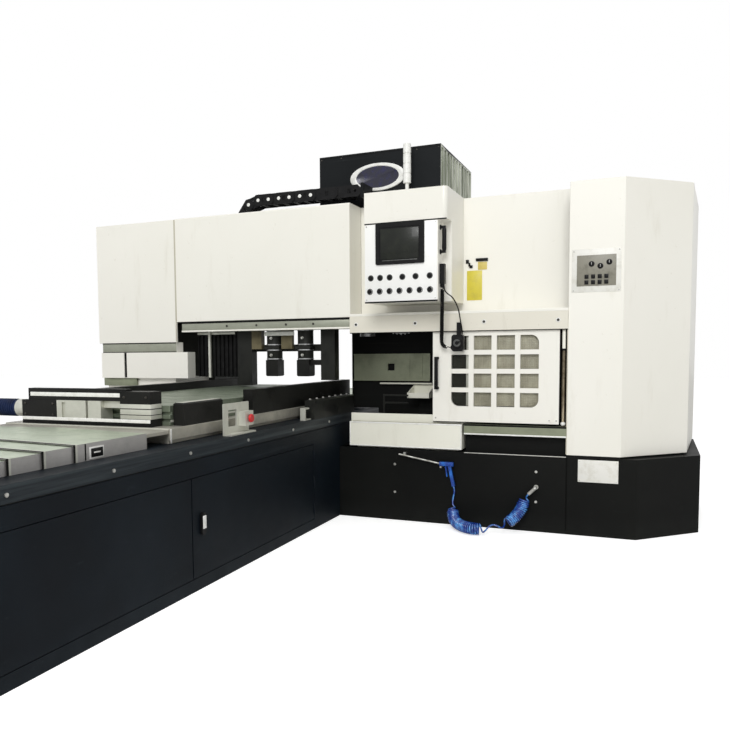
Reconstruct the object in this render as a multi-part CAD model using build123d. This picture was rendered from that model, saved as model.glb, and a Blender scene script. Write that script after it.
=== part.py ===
from build123d import *
from math import atan2, cos, degrees, hypot, pi, radians, sin, tan
import os

# Plate sawing and milling machine. Millimetres. X runs along the portal, Y along the bed (the
# front is -Y) and Z is up. The sizes below are taken from a working datum: the floor corner
# where the bed's right side meets the portal's front plane. The model is moved to the middle of
# its footprint when it is written.

# Running gap between pieces that slide on each other
gap = 0.3
sheet = 20

# Overall layout
machine_left = -2340
machine_right = 2560
bed_front = -3500
bed_rear = 2700

# Bed
bed_width = 1500
deck_height = 800
rim_height = 80
rim_recess = 12
rim_screw_start = -3341
rim_screw_pitch = 632
rim_screw_count = 6
panel_groove = 6
bed_grooves = (-1900, -400, 1100)
door_thickness = 22
door_bottom = 70
door_top = 625
door_gap = 4
hinge_gap = 8
hinge_radius = 7
hinge_length = 70
hinge_offset = 3
door_margin = 60
locker_margin = 50
leaf_pocket = 16
leaf_pocket_side = 76
leaf_pocket_end = 40
front_door_start = -3440
door_seam = -2090
rear_door_end = -490
locker_depth = 380
latch_radius = 17
latch_from_seam = 92
latch_level = 362
latch_grip = (40, 124)
way_margin = 150
rail_width = 45
rail_height = 36
rail_inset = 250
rail_front_margin = 180
rail_rear_margin = 80

# Telescopic covers
cover_wall = 3
cover_step = 6
cover_count = 4
cover_height = 64
cover_crown = 12
cover_running = gap
front_cover_start = -3380
front_cover_end = -2270
front_cover_visible = 190
rear_cover_start = 790
rear_cover_end = 2540
rear_cover_visible = 390

# Table
saddle_front = -2060
saddle_rear = 780
saddle_height = 85
saddle_lip = 14
saddle_lip_height = 18
head_inset = 8
head_level = 55
table_front = -1930
table_rear = 650
table_left = -1190
table_right = -240
table_height = 115
table_level = deck_height + saddle_height + table_height
slot_count = 8
slot_pitch = 300
slot_width = 18
slot_depth = 38
tee_width = 32
tee_height = 15
fixture_width = 72
front_grooves = (22, 62)
front_groove = 16
rail_fixture_height = 50
left_rail_rise = 8
right_fixture_front = -1100
left_fixture_front = -1560
edge_block_front = -1900
edge_block_rear = -1480
edge_block_height = 130
fixture_gap = 3
jaw_front = -2040
jaw_depth = 105
jaw_top = table_level + 26
jaw_gearbox = (-1230, -964)
jaw_blocks = ((-961, -745), (-728, -636))
jaw_shelf = (-636, -499)
jaw_end = (-499, -291)
jaw_end_top = table_level + 82
jaw_bar = (-1186, -461)
jaw_bar_top = table_level + 95
jaw_flange_length = 64
jaw_motor_length = 190
jaw_motor_radius = 50
# Fittings on the bed's deck
guide_front = -445
guide_rear = 355
guide_height = 140
guide_right = -12
guide_wall = 40
guide_base_width = 118
guide_ledge = 60
hook_start = -570
hook_reach = 100
hook_height = 90
hook_left = -70
hook_width = 40
bracket_front = -1620
bracket_length = 300
bracket_height = 190
bracket_left = -84
bracket_width = 60
bracket_sheet = 10
bracket_window = 100
bracket_window_sill = 50
valve_side = 90
stop_face = -30
stop_stem = 11

# Portal
leg_front = 600
leg_rear = 1200
left_leg = (-2250, -bed_width)
right_leg = (1780, 2400)
beam_front = 700
beam_rear = 1150
beam_bottom = 1500
beam_top = 2250
track_depth = 30
track_height = 40
track_levels = (1650, 2150)
leg_clear = 60
beam_pocket = 60
beam_pocket_width = 420
beam_rib = 120

# White covers of the portal
cover_top = 2430
seam_x = -1505
cover_right = 96
cover_bottom = 1558
skirt_bottom = 1470
skirt_start = -1455
skirt_flange = 12
cover_fold = 50
cabinet_bottom = 1385
cabinet_depth = 1430
low_box_bottom = 1075
low_box_top = 1300
low_box_right = -1399
low_box_depth = 120
low_box_groove = (-2071, -2043)
low_box_groove_depth = 10
tie_front = 10
foot_front = 60
wall_front = 250
chain_lane = 230

# Right-hand base and cabinet
base_left = 0
base_height = 547
base_depth = 1450
base_chamfer = 400
column_left = 1705
column_edge = 2055
column_chamfer = 420
column_flare = 77
plinth_height = 13
service_seam = 1704
bay_left = 100
bay_front = 260
bay_rear = 640
bay_right = 1690
bay_wall_thick = 40
bay_side = 60
gutter_left = 987
gutter_depth = 60

# Sliding door, its tracks and the working bay
door_left = 750
door_right = 1650
door_low = 771
door_high = 1500
door_front = 8
door_thick = 24
strip_front = -12
strip_bottom = 1436
strip_top = 1560
strip_depth = 62
stop_rod_radius = 12
stop_ring_level = 1286
stop_ball_level = 775
window_left = 888
window_low = 885
pane_count = 4
cell_width = 128
cell_height = 103
bar_width = 37
bar_height = 34
window_round = 55
door_grip = (1010, 1246)
door_grip_inset = 34
grip_bar = 16
tray_left = 86
tray_right = 970
tray_bottom = 563
tray_top = 751
tray_wall = 12
tray_lip = 40
gutter_bottom = 680
gutter_top = 755
sill_top = 815
bay_floor = 760
bay_wall = 642
bay_wall_left = -140
pedestal = (470, 590)
scoop_left = 414
scoop_right = 598
scoop_front = 450
scoop_rear = 638
scoop_bottom = 909
scoop_top = 1008
scoop_drop = 58
scoop_wall = 8
rest_left = 225
rest_right = 438
rest_y = 400
rest_bar = 14
rest_levels = (864, 926)
edge_strip = (126, 579)
edge_strip_level = 1014
plate_left = -113
plate_right = 559
plate_bottom = 1042
plate_top = 1270
plate_hole = 58
plate_hole_centre = (222, 1158)
plate_folds = (60, 170)
plate_lip = 12

# Hold-down clamps
clamp_front = 120
clamp_depth = 130
clamp_beam_bottom = 1475
clamp_beam_top = 1555
clamp_centres = (-655, -370)
cylinder_radius = 65
cylinder_bottom = table_level + 228
rod_radius = 30
rod_reach = 130
foot_width = 110
foot_depth = 120
foot_bottom = table_level + 93
curtain_bottom = table_level + 86
curtain_left = -1385
curtain_right = -1010
curtain_thick = 40
curtain_ribs = 9
curtain_pitch = 41
left_pillar = (-987, -849, table_level + 16)
right_pillar = (-215, -93, table_level + 63)
pillar_band = (table_level + 298, table_level + 355)
sensors = ((-849, -757, 20, 80), (-577, -477, 30, 70))
sensor_length = 156
guide_post = (-1265, table_level + 80)
clamp_arm = 70

# Cross carriage, milling ram and saw
carriage_left = -180
carriage_right = 620
carriage_face = 600
carriage_thickness = 50
carriage_bottom = 1560
carriage_top_gap = 50
carriage_overhang = 100
slideway_depth = 16
slideway_width = 30
box_left = -280
box_right = 730
box_front = 300
box_rear = 1350
box_bottom = 2450
box_top = 2870
box_ribs = 11
ram_left = -60
ram_right = 200
ram_front = 340
ram_bottom = 1560
ram_top = 2350
nose_radius = 75
cutter_radius = 62
cutter_bottom = 1415
cutter_teeth = 8
saw_x = 410
saw_z = 1680
blade_y = 310
blade_radius = 260
blade_thickness = 4
blade_teeth = 48
hood_front = 285
hood_rear = 335
hood_radius = 278
saw_slide_left = 250
saw_slide_right = 560
saw_slide_front = 370
saw_slide_bottom = 1660
saw_slide_top = 2300
saw_nose_front = 345
saw_nose_half = 110
saw_hub_radius = 70
hood_wall = 6
hood_skirt = 180

# Drag chain
chain_pitch = 94
chain_radius = 45
chain_cut = 0.45
chain_front = 70
chain_width = 130
chain_plate = 6
chain_top_links = 9
chain_bend_links = 5
chain_low_links = 5
chain_start = 115
chain_level = 2530
chain_pin = 11
chain_arm_width = 20
chain_arm_height = 112

# Control station
station_left = 312
station_right = 921
station_bottom = 1645
panel_right = 858
panel_top = 2207
panel_front = -260
panel_back = -120
screen_centre = (582, 2057)
screen_size = (360, 292)
screen_depth = 14
button_radius = 16
button_reach = 18
button_stroke = 5
button_row = 1723
button_first = 355
button_pitch = 74.5
button_count = 7
lamp_row = 1820
lamp_places = (362, 433, 505, 600, 697, 800)

# Signal lamp
signal_x = 493
signal_y = 200
signal_radius = 30
signal_top = 2870

# Handwheel unit
pendant_x = 951
pendant_z = 1347
pendant_size = (88, 44, 122)
wheel_radius = 33
cable_radius = 6
gland_length = 8

# Air gun and its hose
hose_port = (1504, 322)
port_radius = 16
hose_reach = -55
hose_lean = 45
coil_radius = 42
lead_radius = 6
gun_x = 856
gun_y = -38
gun_level = 443
grip_length = 165
grip_tilt = 12

# Screws of the fixed covers: their places along X, and the base's as X and Z
skirt_screws = (-1010, -730, -460, -220)
strip_screws = (150, 620, 1130, 1640)
base_screws = ((457, 432), (457, 219), (1503, 431), (1503, 216))
screw_radius = 9
screw_height = 6

# Moves every finished piece from the working datum to the middle of the footprint
to_centre = Location((-(machine_left + machine_right) / 2, -(bed_front + bed_rear) / 2, 0))


def block(x0, x1, y0, y1, z0, z1):
    """A box between two corners."""
    centre = Location(((x0 + x1) / 2, (y0 + y1) / 2, (z0 + z1) / 2))
    return centre * Box(x1 - x0, y1 - y0, z1 - z0)


def prism(points, z0, z1):
    """A floor outline pulled up from z0 to z1."""
    outline = make_face(Polyline(*points, close=True))
    return Location((0, 0, z0)) * extrude(outline, z1 - z0, dir=(0, 0, 1))


def drum(place, radius, length, axis="Z"):
    """A round bar that starts at place and runs along one axis."""
    turn = {"X": (0, 90, 0), "Y": (-90, 0, 0), "Z": (0, 0, 0)}[axis]
    bar = Cylinder(radius, length, align=(Align.CENTER, Align.CENTER, Align.MIN))
    return Location(place) * Rotation(*turn) * bar


def front_profile(face, y, thickness):
    """A sketch drawn in X and Z, with its front at y."""
    return Location((0, y, 0)) * Rotation(90, 0, 0) * extrude(face, -thickness)


def save(name, *pieces):
    """Writes one node, as a single solid or as a group of separate ones."""
    solids = [to_centre * solid for piece in pieces for solid in piece.solids()]
    shape = solids[0] if len(solids) == 1 else Compound(children=solids)
    export_step(shape, os.path.join("parts", name + ".step"))


# Bed

def bed_frame():
    body = block(-bed_width, 0, bed_front, bed_rear, 0, deck_height)
    below_rim = deck_height - rim_height
    body -= block(-rim_recess, 0, bed_front, bed_rear, below_rim, deck_height)
    for start, end in ((front_door_start, door_seam), (door_seam, rear_door_end)):
        body -= block(-door_thickness - gap, 0, start, end, door_bottom, door_top)
        body -= block(-locker_depth, 0, start + door_margin, end - door_margin, door_bottom + locker_margin,
                      door_top - locker_margin)
    for seam in bed_grooves:
        body -= block(-bed_width, -bed_width + panel_groove, seam, seam + panel_groove, 40, below_rim)
    return body


def bed_doors():
    low = door_bottom + door_gap
    high = door_top - door_gap
    for name, start, end, hinge in (
            ("bed_door_front", front_door_start + hinge_gap, door_seam - door_gap, front_door_start),
            ("bed_door_rear", door_seam + door_gap, rear_door_end - hinge_gap, rear_door_end)):
        inner = -door_thickness
        leaf = block(inner, 0, start, end, low, high)
        leaf -= block(inner, inner + leaf_pocket, start + leaf_pocket_side, end - leaf_pocket_side,
                      low + leaf_pocket_end, high - leaf_pocket_end)
        line = start if hinge == front_door_start else end
        top_hinge = high - leaf_pocket_end - hinge_length
        for level in (low + leaf_pocket_end, (low + high - hinge_length) / 2, top_hinge):
            leaf += drum((hinge_offset, line, level), hinge_radius, hinge_length)
        if name == "bed_door_rear":
            leaf -= drum((inner, *latch_centre()), latch_radius + gap, door_thickness, "X")
        save(name, leaf)


def latch_centre():
    return door_seam + latch_from_seam, latch_level


def bed_latch():
    y, z = latch_centre()
    barrel = drum((-door_thickness - 8, y, z), latch_radius, door_thickness + 14, "X")
    width, height = latch_grip
    grip = block(4, 18, y - width / 2, y + width / 2, z - height / 2, z + height / 2)
    grip = fillet(grip.edges().filter_by(Axis.X), 18)
    return barrel + grip


def guide_rails():
    rails = []
    for side in (-way_margin - rail_inset, -bed_width + way_margin + rail_inset):
        rails.append(block(side - rail_width / 2, side + rail_width / 2,
                           bed_front + rail_front_margin, bed_rear - rail_rear_margin, deck_height, deck_height + rail_height))
    for level in track_levels:
        rails.append(block(left_leg[1] + leg_clear, right_leg[0] - leg_clear, beam_front - track_depth,
                           beam_front, level - track_height / 2, level + track_height / 2))
    return rails


def way_cover(start, end, step):
    """One shell of a telescopic cover: step 0 is the smallest and lies inside the others."""
    grow = step * cover_step
    right = -way_margin - (cover_count - 1 - step) * cover_step
    left = -bed_width - right
    bottom = deck_height + cover_running
    top = deck_height + cover_height + grow
    middle = left / 2 + right / 2
    peak = top + cover_crown
    outline = [(left, bottom), (left, top), (middle, peak), (right, top), (right, bottom)]
    inner = [(left + cover_wall, bottom), (left + cover_wall, top - cover_wall),
             (middle, peak - cover_wall), (right - cover_wall, top - cover_wall),
             (right - cover_wall, bottom)]
    profile = outline + inner[::-1]
    face = make_face(Polyline(*[(x, z) for x, z in profile], close=True))
    return front_profile(face, start, end - start)


def way_covers():
    length = front_cover_end - front_cover_start - (cover_count - 1) * front_cover_visible
    for step in range(cover_count):
        start = front_cover_start + step * front_cover_visible
        save(f"way_cover_front_{step + 1}", way_cover(start, start + length, step))
    length = rear_cover_end - rear_cover_start - (cover_count - 1) * rear_cover_visible
    for step in range(cover_count):
        end = rear_cover_end - step * rear_cover_visible
        save(f"way_cover_rear_{step + 1}", way_cover(end - length, end, step))


# Table

def saddle():
    left = -bed_width + way_margin
    right = -way_margin
    bottom = deck_height + cover_running
    body = block(left, right, saddle_front, saddle_rear, bottom, deck_height + saddle_height)
    for side in (-way_margin - rail_inset, -bed_width + way_margin + rail_inset):
        body -= block(side - rail_width / 2 - gap, side + rail_width / 2 + gap, saddle_front,
                      saddle_rear, bottom, deck_height + rail_height + gap)
    for edge in (right - saddle_lip, left):
        body -= block(edge, edge + saddle_lip, saddle_front, saddle_rear, bottom, bottom + saddle_lip_height)
    head_top = deck_height + saddle_height - head_inset
    head = block(left + head_inset, right - head_inset, front_cover_end, saddle_front,
                 deck_height + head_level, head_top)
    return [body, head]


def worktable():
    bottom = deck_height + saddle_height
    top = bottom + table_height
    body = block(table_left, table_right, table_front, table_rear, bottom, top)
    for level in front_grooves:
        body -= block(table_left, table_right, table_front, table_front + front_groove, bottom + level,
                      bottom + level + front_groove)
    first = (table_front + table_rear - slot_pitch * (slot_count - 1)) / 2
    for number in range(slot_count):
        y = first + number * slot_pitch
        body -= block(table_left, table_right, y - slot_width / 2, y + slot_width / 2,
                      top - slot_depth, top)
        body -= block(table_left, table_right, y - tee_width / 2, y + tee_width / 2,
                      top - slot_depth, top - slot_depth + tee_height)
    return body


def table_fixtures():
    seat = deck_height + saddle_height
    high = seat + table_height + rail_fixture_height
    right = table_right + fixture_gap
    left = table_left - fixture_gap
    rail_right = block(right, right + fixture_width, right_fixture_front, table_rear, seat, high)
    rail_left = block(left - fixture_width, left, left_fixture_front, table_rear, seat,
                      high + left_rail_rise)
    edge = block(right, right + fixture_width, edge_block_front, edge_block_rear, seat,
                 seat + edge_block_height)
    edge = chamfer(edge.edges().group_by(Axis.Z)[-1], 8)
    return [rail_right, rail_left, edge] + front_jaw()


def front_jaw():
    """The jaw across the table's front: a motor and gearbox, slotted blocks, an end block and a bar."""
    seat = deck_height + saddle_height
    front = jaw_front
    rear = front + jaw_depth
    drive = block(*jaw_gearbox, front, rear, seat, jaw_top)
    y = (front + rear) / 2
    z = jaw_top - jaw_motor_radius - 4
    flange_start = jaw_gearbox[0] - jaw_flange_length
    motor_start = flange_start - jaw_motor_length
    drive += drum((flange_start, y, z), jaw_motor_radius + 3, jaw_flange_length, "X")
    motor = drum((motor_start, y, z), jaw_motor_radius, jaw_motor_length, "X")
    drive += chamfer(motor.edges().group_by(Axis.X)[0], 8)
    blocks = block(jaw_blocks[0][0], jaw_shelf[1], front + 30, rear, seat, jaw_top)
    blocks -= block(*jaw_shelf, front, rear, seat, jaw_top - 40)
    for left, right in jaw_blocks:
        blocks += block(left, right, front, front + 30, seat + 8, jaw_top)
    middle = (jaw_blocks[0][0] + jaw_blocks[0][1]) / 2
    blocks -= block(middle - 70, middle - 40, front, front + 12, seat + 30, jaw_top - 12)
    end = block(*jaw_end, front, rear, seat, jaw_end_top)
    bar = block(jaw_bar[0], jaw_end[0], front + 10, rear - 40, jaw_top, jaw_bar_top)
    bar += block(jaw_end[0], jaw_bar[1], front + 10, rear - 40, jaw_end_top, jaw_bar_top)
    bar -= block(jaw_bar[0] + 14, jaw_end[0], front + 10, front + 14, jaw_top + 22, jaw_top + 46)
    return [drive, blocks + bar, end]


def bed_fittings():
    deck = deck_height
    top = deck + guide_height
    base_left = guide_right - guide_base_width
    guide = block(base_left, guide_right, guide_front, guide_rear, deck, top)
    guide -= block(base_left, base_left + guide_wall, guide_front, guide_rear, deck + guide_ledge, top)
    guide = chamfer(guide.edges().filter_by(Axis.Y).group_by(Axis.Z)[-1], 10)
    hook = block(hook_left, hook_left + hook_width, hook_start, hook_start + hook_reach, deck, deck + 8)
    hook += block(hook_left, hook_left + hook_width, hook_start, hook_start + 10, deck + 8,
                  deck + hook_height)
    hook += block(hook_left, hook_left + hook_width, hook_start + 10, hook_start + 70,
                  deck + hook_height - 10, deck + hook_height)
    return [guide, stop_bracket(), hook]


def stop_bracket():
    """The bent sheet that carries the stop button's housing."""
    deck = deck_height
    left = bracket_left
    face = left + bracket_sheet
    start = bracket_front
    end = start + bracket_length
    sill = deck + bracket_window_sill
    bracket = block(left, left + bracket_width, start, end, deck, deck + bracket_sheet)
    bracket += block(left, face, start, end, deck + bracket_sheet, deck + bracket_height)
    bracket -= block(left, face, start + 50, start + 50 + bracket_window, sill, sill + bracket_window)
    y, z = stop_centre()
    bracket += block(face, stop_face, y - 50, y + 50, z - valve_side / 2, z + valve_side / 2)
    return bracket - drum((stop_face - 14, y, z), stop_stem + gap, 14, "X")


def stop_centre():
    return bracket_front + bracket_length - 70, deck_height + 90


def stop_button():
    """The red mushroom head and its stem, which slides in the bracket's housing."""
    head_start = stop_face + button_stroke + 3
    cap = drum((head_start, *stop_centre()), 26, 14, "X")
    cap = fillet(cap.edges().group_by(Axis.X)[-1], 6)
    return cap + drum((stop_face - 7, *stop_centre()), stop_stem, head_start - stop_face + 7, "X")


# Portal

def portal():
    body = block(*left_leg, leg_front, leg_rear, 0, beam_bottom)
    body += block(left_leg[0], right_leg[1], beam_front, beam_rear, beam_bottom, beam_top)
    body += block(*right_leg, leg_front, leg_rear, base_height, beam_bottom)
    for leg in (left_leg, right_leg):
        body += block(*leg, leg_front, leg_rear, beam_bottom, beam_bottom + leg_clear)
    start = left_leg[1] + beam_rib
    while start + beam_pocket_width < right_leg[0]:
        body -= block(start, start + beam_pocket_width, beam_rear - beam_pocket, beam_rear,
                      beam_bottom + beam_rib, beam_top - beam_rib)
        start += beam_pocket_width + beam_rib
    return body


def left_cabinet():
    top = cover_top - 5
    outer = block(machine_left, seam_x, 0, cabinet_depth, cabinet_bottom, top)
    inner = block(machine_left + sheet, seam_x, sheet, cabinet_depth - sheet, cabinet_bottom, top - sheet)
    lane = block(machine_left + sheet, seam_x, cover_fold, chain_lane, top - sheet, top)
    upper = outer - inner - lane
    low = block(machine_left + sheet, low_box_right, 0, low_box_depth, low_box_bottom, low_box_top)
    low -= block(*low_box_groove, 0, low_box_groove_depth, low_box_bottom, low_box_top)
    tie = block(machine_left + 30, seam_x - 10, tie_front, low_box_depth - 10, low_box_top,
                cabinet_bottom)
    foot = block(machine_left + 40, seam_x - 60, foot_front, leg_front, 0, low_box_bottom)
    rear_foot = block(machine_left + 40, seam_x - 60, leg_rear, cabinet_depth, 0, cabinet_bottom)
    return [upper, low, tie, foot, rear_foot]


def bridge_cover():
    front = block(seam_x, cover_right, 0, sheet, cover_bottom, cover_top)
    front += block(seam_x, cover_right, sheet, cover_fold, cover_top - sheet, cover_top)
    front += block(cover_right - sheet, cover_right, sheet, wall_front, strip_top + sheet, cover_top)
    front += block(skirt_start + 55, cover_right - sheet, sheet, cover_fold - 5, cover_bottom,
                   cover_bottom + sheet)
    tray_level = chain_level - 2 * bend_radius() - link_corner() - gap
    front += block(seam_x, cover_right - sheet, sheet, chain_front + chain_width + 12,
                   tray_level - 8, tray_level)
    front = fillet(front.edges().filter_by(Axis.X).sort_by(lambda edge: edge.center().Z * 2
                                                          - edge.center().Y)[-1], 12)
    skirt = block(skirt_start, cover_right, tie_front, tie_front + sheet, skirt_bottom, cover_bottom - gap)
    skirt += block(skirt_start, cover_right, tie_front + sheet, 60, skirt_bottom,
                   skirt_bottom + skirt_flange)
    return [front, skirt]


# Right-hand side

def floor_outline(left, corner, cut, back, inset=0):
    """A cabinet's outline with its front right corner cut at 45 degrees."""
    return [(left, inset), (corner - cut, inset), (corner - inset, cut + inset / 2),
            (corner - inset, back), (left, back)]


def right_base():
    outline = floor_outline(base_left, machine_right, base_chamfer, base_depth)
    body = prism(outline, 0, base_height)
    body -= block(service_seam, service_seam + panel_groove, 0, panel_groove, sheet, base_height)
    body -= block(gutter_left, column_left - 5, 0, gutter_depth, base_height - 6, base_height)
    corner = column_edge + column_chamfer - 12
    plinth = [(column_left + 10, 10), (column_edge - 5, 10), (corner, column_chamfer + 10),
              (corner + column_flare, base_depth - 30), (column_left + 10, base_depth - 30)]
    ring = prism(plinth, base_height, base_height + plinth_height)
    ring -= block(right_leg[0] - 40, right_leg[1] + 40, leg_front - 40, leg_rear + 40, base_height,
                  base_height + plinth_height)
    trough = block(bay_left, bay_right, bay_front, bay_rear, base_height, bay_floor)
    trough -= block(bay_left + bay_side, bay_right - bay_side, bay_front + bay_wall_thick,
                    bay_rear - bay_wall_thick, base_height + bay_side, bay_floor)
    back = block(bay_left, bay_right, bay_wall, bay_wall + sheet, base_height, beam_bottom)
    back += block(bay_wall_left, bay_left, bay_wall, bay_wall + sheet, deck_height + 10, beam_bottom)
    back += block(*pedestal, bay_rear - bay_wall_thick, bay_rear, bay_floor, scoop_bottom)
    front_band = block(gutter_left, column_left - 5, gutter_depth, gutter_depth + sheet, base_height,
                       gutter_bottom)
    return body + ring + trough + back + front_band


def right_cabinet():
    low = base_height + plinth_height
    corner = column_edge + column_chamfer
    rear = corner + column_flare
    outer = prism([(column_left, 0), (column_edge, 0), (corner, column_chamfer),
                   (rear, cabinet_depth), (column_left, cabinet_depth)], low, cover_top)
    slope = sheet * tan(radians(22.5))
    inner = prism([(column_left + sheet, sheet), (column_edge - slope, sheet),
                   (corner - sheet, column_chamfer + slope), (rear - sheet, cabinet_depth - sheet),
                   (column_left + sheet, cabinet_depth - sheet)], low, cover_top - sheet)
    shell = outer - inner
    shell -= block(column_left, column_left + sheet, 60, cabinet_depth - sheet, clamp_beam_bottom - 20,
                   cover_top - sheet)
    shell -= block(column_left, column_left + sheet, leg_front - 60, cabinet_depth - sheet, low,
                   cover_top - sheet)
    return shell


def wall_panel():
    wall = block(cover_right, column_left, wall_front, wall_front + sheet, strip_top, cover_top)
    wall += block(cover_right, column_left, wall_front + sheet, wall_front + 40, cover_top - sheet,
                  cover_top)
    wall += block(cover_right, column_left, strip_front, wall_front, strip_top, strip_top + sheet)
    return wall


def door_tracks():
    strip = block(cover_right, column_left - gap, strip_front, strip_depth, strip_bottom, strip_top)
    rod_x = (door_right + column_left) / 2
    slot_front = door_front - gap
    slot_back = door_front + door_thick + gap
    strip -= block(cover_right, rod_x - stop_rod_radius, slot_front, slot_back, strip_bottom,
                   door_high + gap)
    strip -= block(cover_right, column_left, slot_back + 10, strip_depth, strip_bottom,
                   strip_top - 10)
    gutter = block(gutter_left, column_left - gap, -6, gutter_depth, gutter_bottom, gutter_top)
    gutter -= block(gutter_left, column_left, 0, gutter_depth - 6, gutter_bottom + 6, gutter_top)
    stop = drum((rod_x, 20, gutter_bottom + 6), stop_rod_radius, strip_bottom - gutter_bottom - 6)
    stop += drum((rod_x, 20, stop_ring_level), stop_rod_radius + 3, 14)
    stop += Location((rod_x, 20, stop_ball_level)) * Sphere(stop_rod_radius + 2)
    return [strip, gutter, stop]


def chip_tray():
    wall = tray_wall
    box = block(tray_left, tray_right, 0, wall_front, tray_bottom, tray_top)
    box += block(tray_left, tray_right, tray_lip, tray_lip + wall, tray_top, sill_top)
    box -= block(tray_left + wall, tray_right - wall, wall, tray_lip, tray_bottom + wall, tray_top)
    box -= block(tray_left + wall, tray_right - wall, tray_lip, tray_lip + wall, tray_bottom + wall, tray_top)
    box -= block(tray_left + wall, tray_right - wall, tray_lip + wall, wall_front - wall,
                 tray_bottom + wall, sill_top)
    box += block(tray_left + 40, tray_right - 40, 60, wall_front - 60, base_height, tray_bottom)
    edge = block(*edge_strip, bay_wall - 36, bay_wall, edge_strip_level, edge_strip_level + 13)
    post = block(rest_left, rest_left + rest_bar, rest_y, rest_y + rest_bar, base_height + bay_side,
                 rest_levels[1])
    for level in rest_levels:
        post += block(rest_left, rest_right, rest_y, rest_y + rest_bar, level, level + rest_bar)
    return [box, scoop(), edge, post]


def scoop():
    """A bowl whose rim falls towards its front."""
    bowl = block(scoop_left, scoop_right, scoop_front, scoop_rear, scoop_bottom, scoop_top)
    wall = scoop_wall
    bowl -= block(scoop_left + wall, scoop_right - wall, scoop_front + wall, scoop_rear - wall,
                  scoop_bottom + wall, scoop_top)
    side = [(scoop_front - 1, scoop_top - scoop_drop), (scoop_rear, scoop_top), (scoop_front - 1, scoop_top)]
    wedge = Plane.YZ * make_face(Polyline(*side, close=True))
    return bowl - Location((scoop_left, 0, 0)) * extrude(wedge, scoop_right - scoop_left)


def slide_cover():
    front = bay_wall - sheet
    plate = block(plate_left, plate_right, front, bay_wall, plate_bottom, plate_top)
    x, z = plate_hole_centre
    half = plate_hole / 2
    plate -= block(x - half, x + half, front, bay_wall, z - half, z + half)
    for fold in plate_folds:
        plate -= block(plate_right - fold - 4, plate_right - fold, front, front + 4, plate_bottom, plate_top)
    for low in (plate_bottom, plate_top - plate_lip):
        plate += block(plate_left, plate_right, front - 10, front, low, low + plate_lip)
    return plate


def sliding_door():
    leaf = block(door_left, door_right, door_front, door_front + door_thick, door_low, door_high)
    step_x = cell_width + bar_width
    step_z = cell_height + bar_height
    width = pane_count * step_x - bar_width
    height = pane_count * step_z - bar_height
    centre = (window_left + width / 2, window_low + height / 2)
    outer = Location((centre[0], centre[1], 0)) * RectangleRounded(width, height, window_round)
    cells = Sketch()
    for column in range(pane_count):
        for row in range(pane_count):
            x = window_left + column * step_x + cell_width / 2
            z = window_low + row * step_z + cell_height / 2
            cells += Location((x, z, 0)) * Rectangle(cell_width, cell_height)
    leaf -= front_profile(outer & cells, door_front, door_thick)
    grip_x = door_left + door_grip_inset
    half = grip_bar / 2
    low, high = door_grip
    grip = block(grip_x - half, grip_x + half, door_front - 38, door_front - 24, low, high)
    for level in (low, high - grip_bar):
        grip += block(grip_x - half, grip_x + half, door_front - 24, door_front, level, level + grip_bar)
    return [leaf, grip]


def door_pane():
    width = pane_count * (cell_width + bar_width) - bar_width
    height = pane_count * (cell_height + bar_height) - bar_height
    back = door_front + door_thick
    return block(window_left - 16, window_left + width + 16, back, back + 3, window_low - 16,
                 window_low + height + 16)


# Hold-down clamps

def clamp_frame():
    back = clamp_front + clamp_depth
    start = left_leg[1] + sheet
    end = right_leg[0] - sheet
    frame = block(start, end, clamp_front, back, clamp_beam_bottom, clamp_beam_top)
    for x in (start, end - clamp_arm):
        frame += block(x, x + clamp_arm, back, leg_front + 100, clamp_beam_bottom, clamp_beam_top - 55)
    for left, right, low in (left_pillar, right_pillar):
        frame += block(left, right, clamp_front + 20, back - 20, low, clamp_beam_bottom)
    frame += block(left_pillar[1], right_pillar[0], back - 35, back - 20, *pillar_band)
    y = clamp_front + clamp_depth / 2
    for x in clamp_centres:
        frame += drum((x, y, cylinder_bottom), cylinder_radius, clamp_beam_bottom - cylinder_bottom)
        frame += block(x - 70, x + 70, y - 64, y + 64, cylinder_bottom + 90, cylinder_bottom + 112)
        frame -= drum((x, y, cylinder_bottom), rod_radius + gap, rod_reach + 10)
    pieces = [frame]
    for left, right, front, rear in sensors:
        pieces.append(block(left, right, clamp_front + front, clamp_front + rear,
                            clamp_beam_bottom - sensor_length, clamp_beam_bottom))
    left, low = guide_post
    pieces.append(block(left, left + 20, clamp_front, clamp_front + 20, low, clamp_beam_bottom))
    return pieces


def clamp_foot(number):
    x = clamp_centres[number]
    y = clamp_front + clamp_depth / 2
    top = cylinder_bottom - gap
    foot = block(x - foot_width / 2, x + foot_width / 2, y - foot_depth / 2, y + foot_depth / 2,
                 foot_bottom, top)
    foot = chamfer(foot.edges().group_by(Axis.Z)[0], 8)
    foot += drum((x, y, top), rod_radius, rod_reach)
    if number == 1:
        foot += block(x + foot_width / 2, right_pillar[0] - gap, y - 20, y + 20, top - 43, top)
    return foot


def chip_curtain():
    start = clamp_front + 26
    curtain = block(curtain_left, curtain_right, start, start + curtain_thick, curtain_bottom,
                    clamp_beam_bottom)
    for number in range(curtain_ribs):
        x = curtain_left + 12 + number * curtain_pitch
        curtain -= block(x, x + 18, start, start + 14, curtain_bottom, clamp_beam_bottom - 30)
    return curtain


# Cross carriage

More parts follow.
